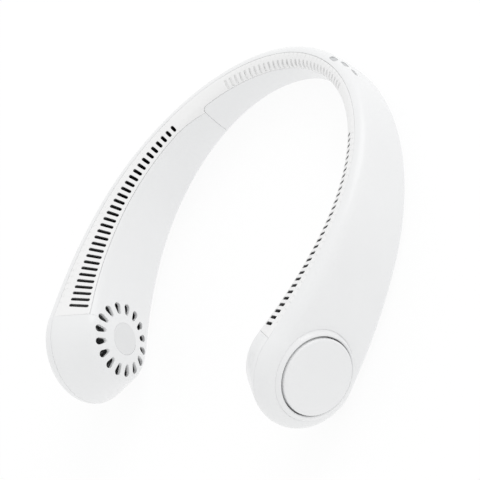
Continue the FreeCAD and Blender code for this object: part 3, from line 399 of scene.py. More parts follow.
class Section:
    """Smooth outline of the band square to the spine.

    x points outward from the slots, y up from the pods' axes.
    """

    def __init__(self, spine, sizes, distance):
        self.origin, self.tangent = spine.at(distance)
        self.outward = self.tangent.cross(UP)
        taper = max(1 - distance / spine.total, 0)
        self.pivot = Vector((0, sizes.cant_height))
        self.cant = Matrix.Rotation(sizes.cant_angle * (1 - taper) ** sizes.cant_power, 2)
        self.top = sizes.pod_radius
        self.bottom = lower_edge(sizes, self.origin.y - spine.at(0)[0].y)
        self.middle = (self.top + self.bottom) / 2
        outer_reach = blend(sizes.outer_reach, taper**sizes.outer_reach_power)
        inner_reach = blend(sizes.inner_reach, taper**sizes.inner_reach_power)
        self.outer_bulge = blend(sizes.outer_bulge, taper)
        self.inner_bulge = blend(sizes.inner_bulge, taper)
        self.outer_centre = Vector((outer_reach - self.outer_bulge, self.middle))
        self.inner_centre = Vector((self.inner_bulge - inner_reach, self.middle))
        crown_round = blend(sizes.crown_round, taper)
        brow_round = blend(sizes.brow_round, taper)
        keel_round = blend((sizes.crown_round[0], sizes.keel_round_arch), taper)
        sole_round = blend((sizes.brow_round[0], sizes.sole_round_arch), taper)
        strip = blend((sizes.strip_slope_pod, sizes.strip_slope_arch), taper)
        under = blend((sizes.strip_slope_pod, sizes.under_slope_arch), taper)
        crown, brow = self.corner(self.top, crown_round, brow_round, strip, 1)
        keel, sole = self.corner(self.bottom, keel_round, sole_round, under, -1)
        high, low = heading_of(brow - self.inner_centre), heading_of(sole - self.inner_centre)
        self.inner = Chain([
            (crown, crown_round, QUARTER, QUARTER + strip),
            (brow, brow_round, QUARTER + strip, high),
            (self.inner_centre, self.inner_bulge, high, low),
            (sole, sole_round, low, 3 * QUARTER - under),
            (keel, keel_round, 3 * QUARTER - under, 3 * QUARTER),
        ])
        low = heading_of(keel - self.outer_centre) - FULL_TURN
        high = heading_of(crown - self.outer_centre)
        self.outer = Chain([
            (keel, keel_round, -QUARTER, low),
            (self.outer_centre, self.outer_bulge, low, high),
            (crown, crown_round, high, QUARTER),
        ])
        # Distance along the inner run at which it crosses the line of slots
        self.row = last_where(lambda at: self.inner.at(at)[0].x > 0, self.inner.length / 2)

    def corner(self, edge, near_round, far_round, slope, upward):
        """Centres of the two rounds of the upper or lower edge, which one straight run joins."""
        height = edge - upward * near_round
        reach = math.sqrt((self.outer_bulge - near_round) ** 2 - (height - self.middle) ** 2)
        near = Vector((self.outer_centre.x + reach, height))
        normal = Vector((-math.sin(slope), upward * math.cos(slope)))
        along = Vector((-math.cos(slope), -upward * math.sin(slope)))
        start = near + normal * (near_round - far_round)
        offset = start - self.inner_centre
        lead = offset.dot(along)
        room = (self.inner_bulge - far_round) ** 2 - offset.dot(offset)
        return near, start + along * (math.sqrt(lead**2 + room) - lead)

    def face_reach(self, run, height):
        """Reach of the inner or outer face at a height."""
        rise = height - self.middle
        if run == "inner":
            return self.inner_centre.x - math.sqrt(self.inner_bulge**2 - rise**2)
        return self.outer_centre.x + math.sqrt(self.outer_bulge**2 - rise**2)

    def spot(self, point, turn=0.0):
        """Place of a section point, with the section canted, or turned forward round the pod's axis."""
        if turn:
            ahead = self.tangent * (abs(point.y) * math.sin(turn))
            return self.origin + self.outward * point.x + UP * (point.y * math.cos(turn)) - ahead
        leaned = self.cant @ (point - self.pivot) + self.pivot
        return self.origin + self.outward * leaned.x + UP * leaned.y


def lower_edge(sizes, ahead):
    """Height of the lower edge: the pod's circle, then the plane that leaves it at the lower slope."""
    slope, radius = sizes.lower_slope, sizes.pod_radius
    if ahead < radius * math.sin(slope):
        return -math.sqrt(radius**2 - ahead**2)
    return ahead * math.tan(slope) - radius / math.cos(slope)


class Fan:
    """The fan's skin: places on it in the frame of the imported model."""

    def __init__(self):
        sizes = settings()
        self.band, self.outlet, self.grille = sizes.band, sizes.outlet, sizes.grille
        self.disc, self.window = sizes.disc, sizes.window
        self.gap, self.lip, self.wall = self.band.seam / 2, self.band.lip, self.band.wall
        self.outer_face = self.band.outer_reach[0]
        self.well_floor = self.outer_face - self.disc.well_depth
        self.spine = Spine(sizes.spine)
        self.sections = {}
        joint = next(row for row in frame["joints"] if row["name"] == "impeller_right_spin")
        tilt = Matrix.Rotation(-self.band.lower_slope, 4, "X")
        move = Vector(joint["pos_m"]) - tilt @ self.spine.at(0)[0]
        self.rest = Matrix.Translation(move) @ tilt

    def section(self, station, digits=STATION_DIGITS):
        station = round(station, digits)
        if station not in self.sections:
            self.sections[station] = Section(self.spine, self.band, station)
        return self.sections[station]

    def place(self, run, key, depth):
        """Place under the skin of a run for a key of station, turn and distance."""
        station, turn, distance = key
        section = self.section(station)
        spot, normal = getattr(section, run).at(distance)
        return section.spot(spot - normal * depth, turn)

    def slot_station(self, step):
        return self.outlet.first + self.outlet.pitch * step

    def slot_length(self, station):
        outlet = self.outlet
        share = (station - outlet.first) / (outlet.pitch * (outlet.number - 1))
        first, last = outlet.slot_length
        return blend((last, first), min(max(share, 0), 1))

    def border(self, station, offset=0.0):
        """Distance along the inner run of the strip's inner border, or of a line beside it.

        The border widens to the neck panel, rounds its corner and then follows the row of grooves.
        """
        outlet, row = self.outlet, self.section(station).row
        arch, corner = row + outlet.groove_border, outlet.panel_corner
        if station < outlet.panel_start - abs(offset):
            last = self.slot_station(outlet.number - 1)
            share = max(station - last, 0) / (outlet.panel_start - last)
            beside = row + self.slot_length(station) / 2 + outlet.border
            return blend((arch + corner, beside), share**2) + offset
        ahead = min(station - outlet.panel_start - corner, 0)
        return arch + corner - math.sqrt(max((corner - offset) ** 2 - ahead**2, 0))

    def carried(self, distance, station, place):
        """The same share of the way to the strip's border at a neighbouring station."""
        return distance * self.border(place) / self.border(station)

    def corner_stations(self, offset):
        """Stations along the round of the neck panel's corner."""
        bend = self.outlet.panel_corner - offset
        end = self.outlet.panel_start + self.outlet.panel_corner
        return [end - bend * math.cos(turn) for turn in between(0, QUARTER, CORNER_STEPS)]

    def pod(self, side=RIGHT):
        """Frame of a pod before the tilt: x along the spine, y up and z outward along its axis."""
        origin, tangent = self.spine.at(0)
        columns = [tangent, UP, tangent.cross(UP), origin]
        if side == LEFT:
            columns = [Vector((-column.x, column.y, column.z)) for column in columns]
        return axes_matrix(*columns)

    def well(self, side):
        """Frame of a pod's well, whose axis lies a little below the pod's."""
        return self.rest @ (self.pod(side) @ Matrix.Translation((0, -self.disc.drop, 0)))

    def face_height(self, run, along, up):
        """Height of the inner or outer face along the pod's axis, at a place in the pod's plane."""
        if along <= 0:
            return self.section(0.0).face_reach(run, math.hypot(along, up))
        station, height, pod = along, up, self.pod().inverted()
        for _ in range(SETTLE_ROUNDS):
            section = self.section(station, SETTLE_DIGITS)
            found = pod @ section.spot(Vector((section.face_reach(run, height), height)))
            station, height = station + along - found.x, height + up - found.y
        return found.z


# Meshes

class Sheet:
    """Faces on the skin, keyed by station, turn and distance, thickened into a closed wall."""
    SKIN, LINER = 0, 1

    def __init__(self, fan, run):
        self.fan, self.run = fan, run
        self.faces, self.lips, self.dark = [], {}, set()

    def key(self, station, distance, lip, turn=0.0):
        key = round(station, STATION_DIGITS), round(turn, TURN_DIGITS), round(distance, STATION_DIGITS)
        self.lips[key] = lip
        return key

    def grid(self, rows):
        """Faces between neighbouring rows of keys; a missing key leaves its faces out."""
        for row, following in zip(rows, rows[1:]):
            for corners in zip(row, row[1:], following[1:], following):
                if None not in corners:
                    self.faces.append(corners)

    def mesh(self, sides):
        """Closed wall on one or both sides of the fan, joined at the apex and along the pods' fronts."""
        apex, front = round(self.fan.spine.total, STATION_DIGITS), round(QUARTER, TURN_DIGITS)
        made = bmesh.new()
        uses = {}
        for face in self.faces:
            for pair in zip(face, face[1:] + face[:1]):
                uses[frozenset(pair)] = None if frozenset(pair) in uses else pair
        for side in sides:
            matrix = self.fan.rest @ Matrix.Diagonal((side, 1, 1, 1))
            skin = {key: made.verts.new(matrix @ self.fan.place(self.run, key, lip))
                    for key, lip in self.lips.items()}
            liner = {key: made.verts.new(matrix @ self.fan.place(self.run, key, self.fan.wall))
                     for key in self.lips}
            # Faces of the liner side take the painted shade finish
            for face in self.faces:
                made.faces.new([skin[key] for key in face])
                made.faces.new([liner[key] for key in reversed(face)]).material_index = self.LINER
            for first, second in filter(None, uses.values()):
                joined = len(sides) > 1 and first[0] == second[0] == apex
                if not joined and not first[1] == second[1] == front:
                    edge = made.faces.new([skin[second], skin[first], liner[first], liner[second]])
                    # Slot walls below their white part are painted near-black as shade
                    edge.material_index = self.LINER if self.dark.issuperset((first, second)) else self.SKIN
        bmesh.ops.remove_doubles(made, verts=made.verts, dist=MERGE)
        bmesh.ops.dissolve_degenerate(made, edges=made.edges, dist=MERGE)
        loose = [vert for vert in made.verts if not vert.link_faces]
        bmesh.ops.delete(made, geom=loose, context="VERTS")
        bmesh.ops.recalc_face_normals(made, faces=made.faces)
        return made


def link(name, data):
    """New object in the scene, for a mesh, a lamp or a camera."""
    thing = bpy.data.objects.new(name, data)
    bpy.context.scene.collection.objects.link(thing)
    return thing


def new_object(name, made):
    """Object in the scene from a mesh in the making."""
    mesh = bpy.data.meshes.new(name)
    made.to_mesh(mesh)
    made.free()
    return link(name, mesh)


def smooth(mesh):
    mesh.shade_smooth()
    mesh.set_sharp_from_angle(angle=SMOOTH_ANGLE)


def add_object(name, made, finish_names, body="housing", replaced=()):
    """Smooth piece from a mesh in the making, riding on a body."""
    piece = new_object(name, made)
    smooth(piece.data)
    for finish_name in finish_names:
        piece.data.materials.append(finish(finish_name))
    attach(piece, body)
    if replaced:
        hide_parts(*replaced)
    return piece


def add_skin(node, sheet, finish_name="shell", sides=(RIGHT, LEFT)):
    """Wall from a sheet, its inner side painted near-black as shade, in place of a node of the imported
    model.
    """
    return add_object(f"{node}_skin", sheet.mesh(sides), (finish_name, "liner"), replaced=[node])


def rounded_rows(start, end, number, lip, first=True, last=True):
    """Distances and lips from start to end, with a rounded edge at the ends that ask for one."""
    low, high = [(start, 0.0)], [(end, 0.0)]
    if first:
        low = [(start + lip * along, lip * drop) for along, drop in ROUND_SHARES]
    if last:
        high = [(end - lip * along, lip * drop) for along, drop in reversed(ROUND_SHARES)]
    inside = [(value, 0.0) for value in between(low[-1][0], high[0][0], number)[1:-1]]
    return low + inside + high


def subtract(piece, made):
    """Cut a closed mesh out of a piece."""
    bmesh.ops.recalc_face_normals(made, faces=made.faces)
    cutter = new_object("cutter", made)
    cut = piece.modifiers.new("cut", "BOOLEAN")
    cut.operation, cut.solver, cut.object = "DIFFERENCE", "EXACT", cutter
    bpy.context.view_layer.update()
    result = bpy.data.meshes.new_from_object(piece.evaluated_get(bpy.context.evaluated_depsgraph_get()))
    piece.modifiers.clear()
    piece.data = result
    result.name = piece.name
    smooth(result)
    bpy.data.objects.remove(cutter)


def stack(made, loops):
    """Closed solid through loops of places with the same number of points."""
    rings = [[made.verts.new(spot) for spot in loop] for loop in loops]
    for ring, following in zip(rings, rings[1:]):
        for number in range(len(ring)):
            nearest = (number + 1) % len(ring)
            made.faces.new([ring[number], ring[nearest], following[nearest], following[number]])
    made.faces.new(rings[0][::-1])
    made.faces.new(rings[-1])


def lathe(profile, matrix):
    """Closed solid turned about the z axis from (radius, height) points that start and end on it.

    A height may also be a function of the place in the plane.
    """
    made = bmesh.new()
    rings = []
    for radius, height in profile:
        steps = range(LATHE_STEPS if radius > MERGE else 1)
        spots = [polar(radius, FULL_TURN * step / LATHE_STEPS) for step in steps]
        rings.append([made.verts.new(matrix @ Vector((*spot, height(spot) if callable(height) else height)))
                      for spot in spots])
    for ring, following in zip(rings, rings[1:]):
        for number in range(LATHE_STEPS):
            nearest = (number + 1) % LATHE_STEPS
            corners = [ring[number % len(ring)], ring[nearest % len(ring)],
                       following[nearest % len(following)], following[number % len(following)]]
            made.faces.new(list(dict.fromkeys(corners)))
    bmesh.ops.recalc_face_normals(made, faces=made.faces)
    return made


def drum(radius, low, high):
    """Profile of a plain drum between two heights."""
    return [(0, low), (radius, low), (radius, high), (0, high)]


def arc(centre_x, centre_y, radius, start, end, steps=ARC_STEPS):
    return [(centre_x + radius * math.cos(turn), centre_y + radius * math.sin(turn))
            for turn in between(start, end, steps)]


def slot_points(near, near_width, far, far_width):
    """Outline along x of a slot with round ends, which may taper."""
    near_radius, far_radius = near_width / 2, far_width / 2
    return (
        arc(far - far_radius, 0, far_radius, -QUARTER, QUARTER)
        + arc(near + near_radius, 0, near_radius, QUARTER, 3 * QUARTER)
    )


def oval_points(long, wide, inset=0.0):
    """Outline of an oval about the middle, drawn in by an inset."""
    return slot_points(inset - long / 2, wide - 2 * inset, long / 2 - inset, wide - 2 * inset)


def lifted(outline, height, matrix):
    return [matrix @ Vector((x, y, height)) for x, y in outline]


# Finishes

class Socket:
    """A shader socket that works in sums and products."""

    def __init__(self, shader, output):
        self.shader, self.output = shader, output

    def maths(self, operation, *values):
        return self.shader.node("Math", values, operation=operation)

    def __add__(self, other):
        return self.maths("ADD", self, other)

    def __radd__(self, other):
        return self.maths("ADD", other, self)

    def __sub__(self, other):
        return self.maths("SUBTRACT", self, other)

    def __rsub__(self, other):
        return self.maths("SUBTRACT", other, self)

    def __mul__(self, other):
        return self.maths("MULTIPLY", self, other)

    def __rmul__(self, other):
        return self.maths("MULTIPLY", other, self)


class Shader:
    """Shader nodes of a material or of the world, added one by one."""
    BUMP_DEPTH = 0.00002

    def __init__(self, owner):
        owner.use_nodes = True
        self.owner, self.nodes, self.links = owner, owner.node_tree.nodes, owner.node_tree.links
        self.nodes.clear()

    def node(self, kind, values=(), output=0, **options):
        """Add a node: its options first, then its sockets by number or name."""
        node = self.nodes.new(f"ShaderNode{kind}")
        for name, value in options.items():
            setattr(node, name, value)
        for name, value in values.items() if isinstance(values, dict) else enumerate(values):
            socket = node.inputs[name]
            if isinstance(value, Socket):
                self.links.new(value.output, socket)
            elif socket.type == "RGBA":
                socket.default_value = (*value, 1)
            else:
                socket.default_value = value
        return Socket(self, node.outputs[output]) if len(node.outputs) else None

    def noise(self, scale, detail=3.0):
        """Noise over the fan in its own metres."""
        place = self.node("TexCoord", output="Object")
        return self.node("TexNoise", {"Vector": place, "Scale": scale, "Detail": detail})

    def mix(self, share, first, second):
        # Sockets 6 and 7 of a Mix node are its two colours, output 2 their mixture
        return self.node("Mix", {0: share, 6: first, 7: second}, output=2, data_type="RGBA")

    def bump(self, strength, height):
        return self.node("Bump", {"Strength": strength, "Distance": self.BUMP_DEPTH, "Height": height})

    def backdrop(self, unseen, seen):
        """Close with what lights the fan, and with what shows straight, mirrored or through a lens."""
        camera, mirrored, through = (
            self.node("LightPath", output=f"Is {kind} Ray")
            for kind in ("Camera", "Glossy", "Transmission"))
        return self.close(self.node("MixShader", {0: camera + mirrored + through, 1: unseen, 2: seen}))

    def close(self, surface):
        kind = "World" if isinstance(self.owner, bpy.types.World) else "Material"
        self.node(f"Output{kind}", {"Surface": surface})
        return self.owner


def shade(colour, amount):
    return tuple(channel * amount for channel in colour)


# Scales of the noises, in waves to the metre, and how far they carry
TONE_SCALE, TONE_SPREAD = 38.0, 0.03
GRAIN_SCALE, GRAIN_DETAIL = 5200.0, 2.0
GLOSS_BASE, GLOSS_DRIFT, GLOSS_GRAIN = 0.75, 0.3, 0.2
COAT_ROUGHNESS, PLASTIC_IOR = 0.12, 1.49
STEEL_SCALE, STEEL_DARK, STEEL_BRIGHT = 120.0, 0.85, 1.1
SCRATCH_SCALE, SCRATCH_DETAIL, SCRATCH_BUMP = 2600.0, 4.0, 0.2
SCRATCH_ROUGHNESS, STEEL_ROUGHNESS = 0.2, 0.22


def moulded(name, colour, roughness, grain, coat=0.0):
    """Moulded plastic: faint drift of tone, fine spark-eroded grain and a slightly uneven gloss."""
    shader = Shader(bpy.data.materials.new(name))
    drift, grit = shader.noise(TONE_SCALE), shader.noise(GRAIN_SCALE, GRAIN_DETAIL)
    tone = shader.mix(drift, shade(colour, 1 - TONE_SPREAD), shade(colour, 1 + TONE_SPREAD / 2))
    gloss = drift * (roughness * GLOSS_DRIFT) + grit * (roughness * GLOSS_GRAIN) + roughness * GLOSS_BASE
    return shader.close(shader.node("BsdfPrincipled", {
        "Base Color": tone, "Roughness": gloss, "Normal": shader.bump(grain, grit),
        "Coat Weight": coat, "Coat Roughness": COAT_ROUGHNESS, "IOR": PLASTIC_IOR}))


def steel(name, colour):
    """Drawn steel with fine scratches."""
    shader = Shader(bpy.data.materials.new(name))
    scratch, drift = shader.noise(SCRATCH_SCALE, SCRATCH_DETAIL), shader.noise(STEEL_SCALE)
    return shader.close(shader.node("BsdfPrincipled", {
        "Base Color": shader.mix(drift, shade(colour, STEEL_DARK), shade(colour, STEEL_BRIGHT)),
        "Roughness": scratch * SCRATCH_ROUGHNESS + STEEL_ROUGHNESS, "Metallic": 1.0,
        "Normal": shader.bump(SCRATCH_BUMP, scratch)}))


FINISHES = {
    "shell": ("satin_white_shell", {"roughness": 0.34, "grain": 0.10, "coat": 0.25}),
    # Painted light: brighter than the shell's white, for the light on the strip
    "strip": ("white_outlet_strip", {"roughness": 0.36, "grain": 0.10, "coat": 0.20}),
    "disc": ("polished_white_disc", {"roughness": 0.26, "grain": 0.06, "coat": 0.35}),
    "label": ("plain_label_film", {"roughness": 0.45, "grain": 0.05}),
    # Painted shade for the unlit insides of the shells and the deep parts of the slots' walls
    "liner": ("dark_duct_lining", {"roughness": 0.70, "grain": 0.20}),
    "lens": ("frosted_light_guide", {"roughness": 0.30, "grain": 0.05, "coat": 0.40}),
    "wheel": ("moulded_blower_wheel", {"roughness": 0.50, "grain": 0.20}),
    "frame": ("moulded_inner_frame", {"roughness": 0.55, "grain": 0.20}),
    "board": ("solder_mask_board", {"roughness": 0.40, "grain": 0.10, "coat": 0.30}),
    "cell": ("wrapped_battery_cell", {"roughness": 0.35, "grain": 0.10}),
    "metal": ("drawn_steel", None),
}


def finish(key):
    """A finish of the fan, made once."""
    name, traits = FINISHES[key]
    known, colour = bpy.data.materials.get(name), getattr(settings().finish, key)
    return known or (moulded(name, colour, **traits) if traits else steel(name, colour))


# Pieces

def arm_stations(start, end):
    """Evenly spaced stations along the spine."""
    return between(start, end, max(1, round((end - start) / ARM_STEP)))


class FAN_OT_outer_shell(Operator):
    """Moulded outer shell with the collared wells of both pods"""
    bl_idname = "neck_fan.outer_shell"
    bl_label = "Outer Shell"

    def execute(self, context):
        fan = Fan()
        sheet = Sheet(fan, "outer")
        rows = []
        places = [(0.0, turn) for turn in POD_TURNS]
        places += [(station, 0.0) for station in arm_stations(0, fan.spine.total)]
        for station, turn in places:
            reach = fan.section(station).outer.length
            columns = rounded_rows(fan.gap, reach - fan.gap, OUTER_COLUMNS, fan.lip)
            rows.append([sheet.key(station, distance, lip, turn) for distance, lip in columns])
        sheet.grid(rows)
        shell = add_skin("outer_shell", sheet)
        well = drum(fan.disc.collar_radius, fan.well_floor, fan.outer_face + fan.disc.well_depth)
        for side in (RIGHT, LEFT):
            subtract(shell, lathe(well, fan.well(side)))
            well_cup(fan, side)
        self.cut_windows(fan, shell)
        return {"FINISHED"}

    def cut_windows(self, fan, shell):
        outline, depth = oval_points(fan.window.long, fan.window.wide), 2 * fan.wall
        made = bmesh.new()
        for matrix in window_frames(fan):
            stack(made, [lifted(outline, height, matrix) for height in (-depth, depth)])
        subtract(shell, made)


def well_cup(fan, side):
    """Collar and cup of a pod's well; the collar's foot follows the skin all round."""
    disc, floor, bend = fan.disc, fan.well_floor, fan.disc.collar_round
    foot, under = disc.collar_radius - fan.gap, floor - fan.wall
    top = fan.face_height("outer", 0.0, disc.collar_radius + disc.drop) + disc.collar_rise

    def skin(spot):
        return fan.face_height("outer", spot.x, spot.y - disc.drop)

    profile = [(0, floor), (disc.well_radius, floor)]
    profile += arc(disc.well_radius + bend, top - bend, bend, HALF_TURN, disc.collar_lean, COLLAR_STEPS)
    profile += [(foot, skin), (foot, lambda spot: skin(spot) - fan.wall), (foot, under), (0, under)]
    add_object(f"well_{SIDE_NAMES[side]}", lathe(profile, fan.well(side)), ["shell"])


def window_frames(fan):
    """Frames of the oval windows: x along the arch, z out of the skin."""
    window = fan.window
    for step in range(window.number):
        section = fan.section(window.station - window.pitch * step)
        share = window.height_share - window.drop_share * step
        height = section.bottom + (section.top - section.bottom) * share
        reach = last_where(lambda at: section.outer.at(at)[0].y < height, section.outer.length)
        spot, normal = section.outer.at(reach)
        out = (section.spot(normal) - section.spot(Vector((0, 0)))).normalized()
        yield fan.rest @ axes_matrix(section.tangent, out.cross(section.tangent), out, section.spot(spot))


class FAN_OT_inner_shells(Operator):
    """Inner shells of both arms with their inlet grilles"""
    bl_idname = "neck_fan.inner_shells"
    bl_label = "Inner Shells"
    PLAIN_COLUMNS = SHELL_COLUMNS + len(ROUND_SHARES) - 1

    def execute(self, context):
        fan = Fan()
        for side in (RIGHT, LEFT):
            shell = add_skin(f"inner_shell_{SIDE_NAMES[side]}", self.sheet(fan), sides=(side,))
            subtract(shell, grille_cutter(fan, side))
            subtract(shell, seat_cutter(fan) if side == LEFT else port_cutter(fan))
        return {"FINISHED"}

    def sheet(self, fan):
        start, end = fan.outlet.start, fan.outlet.panel_start
        sheet = Sheet(fan, "inner")
        rows = [self.row(sheet, 0.0, 0.0, True, turn) for turn in POD_TURNS]
        for station, lip in rounded_rows(0.0, start - fan.gap, FRONT_ROWS, fan.lip, first=False):
            rows.append(self.row(sheet, station, lip, True))
        for station, lip in rounded_rows(start + fan.gap, end - fan.gap, ARM_ROWS, fan.lip, first=False):
            rows.append(self.row(sheet, station, lip, False))
        sheet.grid(rows)
        return sheet

    def row(self, sheet, station, end_lip, whole, turn=0.0):
        """One ring of keys; beside the strip it starts at the strip's border."""
        fan, outlet, gap = sheet.fan, sheet.fan.outlet, sheet.fan.gap
        border, reach = fan.border(station), fan.section(station).inner.length
        upper = rounded_rows(gap, border, STRIP_COLUMNS, fan.lip, last=False)
        number = self.PLAIN_COLUMNS if whole else SHELL_COLUMNS
        near = rounded_rows(border + gap, reach / 2, number, fan.lip, first=not whole, last=False)
        far = [(distance, 0.0) for distance in between(reach / 2, reach - border - gap, self.PLAIN_COLUMNS)]
        lower = [(reach - distance, lip) for distance, lip in reversed(upper)]
        keys = []
        for distance, lip in upper:
            place = station * (1 - outlet.skew / outlet.start * (1 - distance / border))
            keys.append(sheet.key(place, fan.carried(distance, station, place), max(lip, end_lip), turn)
                        if whole else None)
        keys += [sheet.key(station, distance, lip if whole else max(lip, end_lip), turn)
                 for distance, lip in near + far[1:] + lower]
        return keys


# Widest part of a grille slot's mouth, clear of the skin, in the same shares as a rounded edge
FLARE = (1.6, -0.9)
GRILLE_REACH = 6
LABEL_FIT, SEAT_REACH = 1.012, 10
PORT_REACH = (0.8, 1.2)


def grille_cutter(fan, side):
    """Ring of tapered slots with flared mouths, cut through the dome along the pod's axis."""
    grille, matrix = fan.grille, fan.rest @ fan.pod(side)
    mouth = [(grille.rim * grow, grille.rim * depth) for grow, depth in (FLARE, *reversed(ROUND_SHARES))]
    made = bmesh.new()
    for step in range(grille.number):
        spin = Matrix.Rotation(FULL_TURN * (step + 1 / 2) / grille.number, 2)
        loops = []
        for grow, depth in mouth + [(0.0, GRILLE_REACH * fan.wall)]:
            outline = slot_points(grille.inner - grow, grille.width_inner + 2 * grow,
                                  grille.outer + grow, grille.width_outer + 2 * grow)
            spots = [spin @ Vector(point) for point in outline]
            loops.append([matrix @ Vector((*spot, fan.face_height("inner", *spot) + depth))
                          for spot in spots])
        stack(made, loops)
    return made


def seat_cutter(fan):
    """Shallow round seat of the disc in the left dome."""
    radius, depth = fan.grille.label_radius, fan.grille.label_depth
    height = fan.face_height("inner", 0.0, radius)
    profile = drum(radius * LABEL_FIT, height - SEAT_REACH * depth, height + depth)
    return lathe(profile, fan.rest @ fan.pod(LEFT))


def port_cutter(fan):
    """Mouth of the charging socket through the rim of the right pod."""
    grille, radius = fan.grille, fan.band.pod_radius
    outline = oval_points(grille.port_width, grille.port_height)
    matrix = fan.rest @ fan.pod(RIGHT)
    made = bmesh.new()
    stack(made, [[matrix @ Vector((x, -radius * share, grille.port_offset + y)) for x, y in outline]
                 for share in PORT_REACH])
    return made


class FAN_OT_outlet_strip(Operator):
    """Outlet strip with its slots along both arms and the grooves over the arch"""
    bl_idname = "neck_fan.outlet_strip"
    bl_label = "Outlet Strip"
    SIDE_STEPS, END_STEPS = 6, 3
    # Loops between a cell's outside and its slot, and how fast the edge's lip fades over them
    CELL_SHARES, LIP_FADE = (0.35, 0.7), 4
    # How far a slot and a groove draw in below their rims
    SLOT_DRAFT, GROOVE_DRAFT = 1 / 100, 1 / 2

    def execute(self, context):
        fan = Fan()
        self.fan, self.sheet = fan, Sheet(fan, "inner")
        outlet, half = fan.outlet, fan.outlet.pitch / 2
        first, last = outlet.first - half, fan.slot_station(outlet.number - 1) + half
        arch = fan.spine.total - outlet.groove_pitch * outlet.groove_number
        corner = fan.corner_stations(-fan.gap)
        front = rounded_rows(outlet.start + fan.gap, first, FRONT_ROWS, fan.lip, last=False)
        self.plain(front, outlet.skew)
        for step in range(outlet.number):
            station = fan.slot_station(step)
            self.cell(station, half, fan.slot_length(station), outlet.width, None)
        ahead = arm_stations(last, corner[0])[:-1] + corner[:-1] + arm_stations(corner[-1], arch)
        self.plain([(station, 0.0) for station in ahead], 0.0)
        for step in range(outlet.groove_number):
            station = arch + outlet.groove_pitch * (step + 1 / 2)
            self.cell(station, outlet.groove_pitch / 2, outlet.groove_length, outlet.groove_width,
                      outlet.groove_depth)
        add_skin("outlet_strip", self.sheet, "strip")
        return {"FINISHED"}

    def columns(self, station):
        """Station, distance and lip of the places across the strip at a station."""
        fan, row = self.fan, self.fan.section(station).row
        straight = (fan.slot_length(station) - fan.outlet.width) / 2
        low, high = row - straight, row + straight
        near = rounded_rows(fan.gap, low, self.END_STEPS, fan.lip, last=False)
        middle = [(value, 0.0) for value in between(low, high, self.SIDE_STEPS)[1:-1]]
        far = rounded_rows(high, fan.border(station, -fan.gap), self.END_STEPS, fan.lip, first=False)
        return [(station, *pair) for pair in near + middle + far]

    def plain(self, stations, skew):
        """Strip without slots through stations with the lips of its end, which may slant."""
        start, end = stations[0][0], stations[-1][0]
        rows = []
        for station, end_lip in stations:
            row = []
            for _, distance, lip in self.columns(station):
                share = (1 - distance / self.fan.border(station)) * (end - station) / (end - start)
                place = station - skew * share
                row.append(self.sheet.key(
                    place, self.fan.carried(distance, station, place), max(lip, end_lip)))
            rows.append(row)
        self.sheet.grid(rows)

    def cell(self, station, half, slot, width, depth):
        """Strip round one slot, or round one groove where a depth is given."""
        outlet, key = self.fan.outlet, self.sheet.key
        before, middle, after = (self.columns(place) for place in (station - half, station, station + half))
        left = len(ROUND_SHARES) + self.END_STEPS - 1
        outside = before + middle[-1:] + after[::-1] + middle[:1]
        outside = outside[left:] + outside[:left]
        row = self.fan.section(station).row - (outlet.groove_shift if depth else 0)
        radius, straight = width / 2, (slot - width) / 2
        side, bend = between(-straight, straight, self.SIDE_STEPS), between(0, HALF_TURN, 2 * left + 2)

        def slot_loop(grow, drop):
            reach = radius + grow
            points = [(x, -reach) for x in side]
            points += [(straight + reach * math.sin(turn), -reach * math.cos(turn)) for turn in bend[1:-1]]
            points += [(-x, -y) for x, y in points]
            return [(station + y, row + x, drop) for x, y in points]

        loops = [outside]
        mouth = slot_loop(outlet.rim, 0.0)
        for share in self.CELL_SHARES:
            fade = (1 - share) ** self.LIP_FADE
            loops.append([
                (place + (goal - place) * share, distance + (end - distance) * share, lip * fade)
                for (place, distance, lip), (goal, end, _) in zip(outside, mouth)])
        for along, drop in reversed(ROUND_SHARES):
            loops.append(slot_loop(outlet.rim * along, outlet.rim * drop))
        loops.append(slot_loop(-outlet.rim * (self.GROOVE_DRAFT if depth else self.SLOT_DRAFT),
                               depth or outlet.slot_wall))
        loops = [[key(*place) for place in loop] for loop in loops]
        self.sheet.grid([loop + loop[:1] for loop in loops])
        if depth:
            self.sheet.faces.append(tuple(loops[-1]))
        else:
            # Walls below the white part get the painted shade finish
            self.sheet.dark.update(loops[-1])


class FAN_OT_neck_panel(Operator):
    """Neck panel over the inner face of the arch"""
    bl_idname = "neck_fan.neck_panel"
    bl_label = "Neck Panel"

    def execute(self, context):
        fan = Fan()
        sheet, start = Sheet(fan, "inner"), fan.outlet.panel_start + fan.gap
        corner = [station for station in fan.corner_stations(fan.gap) if station > start + fan.lip]
        lips = rounded_rows(start, corner[0], 1, fan.lip, last=False)[:-1]
        ahead = corner[:-1] + arm_stations(corner[-1], fan.spine.total)
        rows = []
        for station, end_lip in lips + [(station, 0.0) for station in ahead]:
            reach = fan.section(station).inner.length - fan.gap
            columns = rounded_rows(fan.border(station, fan.gap), reach, 2 * SHELL_COLUMNS, fan.lip)
            rows.append([sheet.key(station, distance, max(lip, end_lip)) for distance, lip in columns])
        sheet.grid(rows)
        add_skin("neck_panel", sheet)
        return {"FINISHED"}


class FAN_OT_discs(Operator):
    """Power button on the right pod and its matching cap on the left pod"""
    bl_idname = "neck_fan.discs"
    bl_label = "Round Covers"

    def execute(self, context):
        fan = Fan()
        disc, face = fan.disc, fan.outer_face + fan.disc.rise
        radius = disc.well_radius - disc.gap
        inner = radius - disc.edge
        for side, name, body, lift in ((RIGHT, "power_button", "power_button", disc.travel),
                                       (LEFT, "end_cap", "housing", 0.0)):
            profile = [(inner * share, face - disc.hollow * (1 - share**2))
                       for share in between(0, 1, FACE_STEPS)[:-1]]
            profile += arc(inner, face - disc.edge, disc.edge, QUARTER, 0)
            profile += [(radius, fan.well_floor + lift), (0, fan.well_floor + lift)]
            add_object(f"{name}_disc", lathe(profile, fan.well(side)), ["disc"], body, [name])
        return {"FINISHED"}


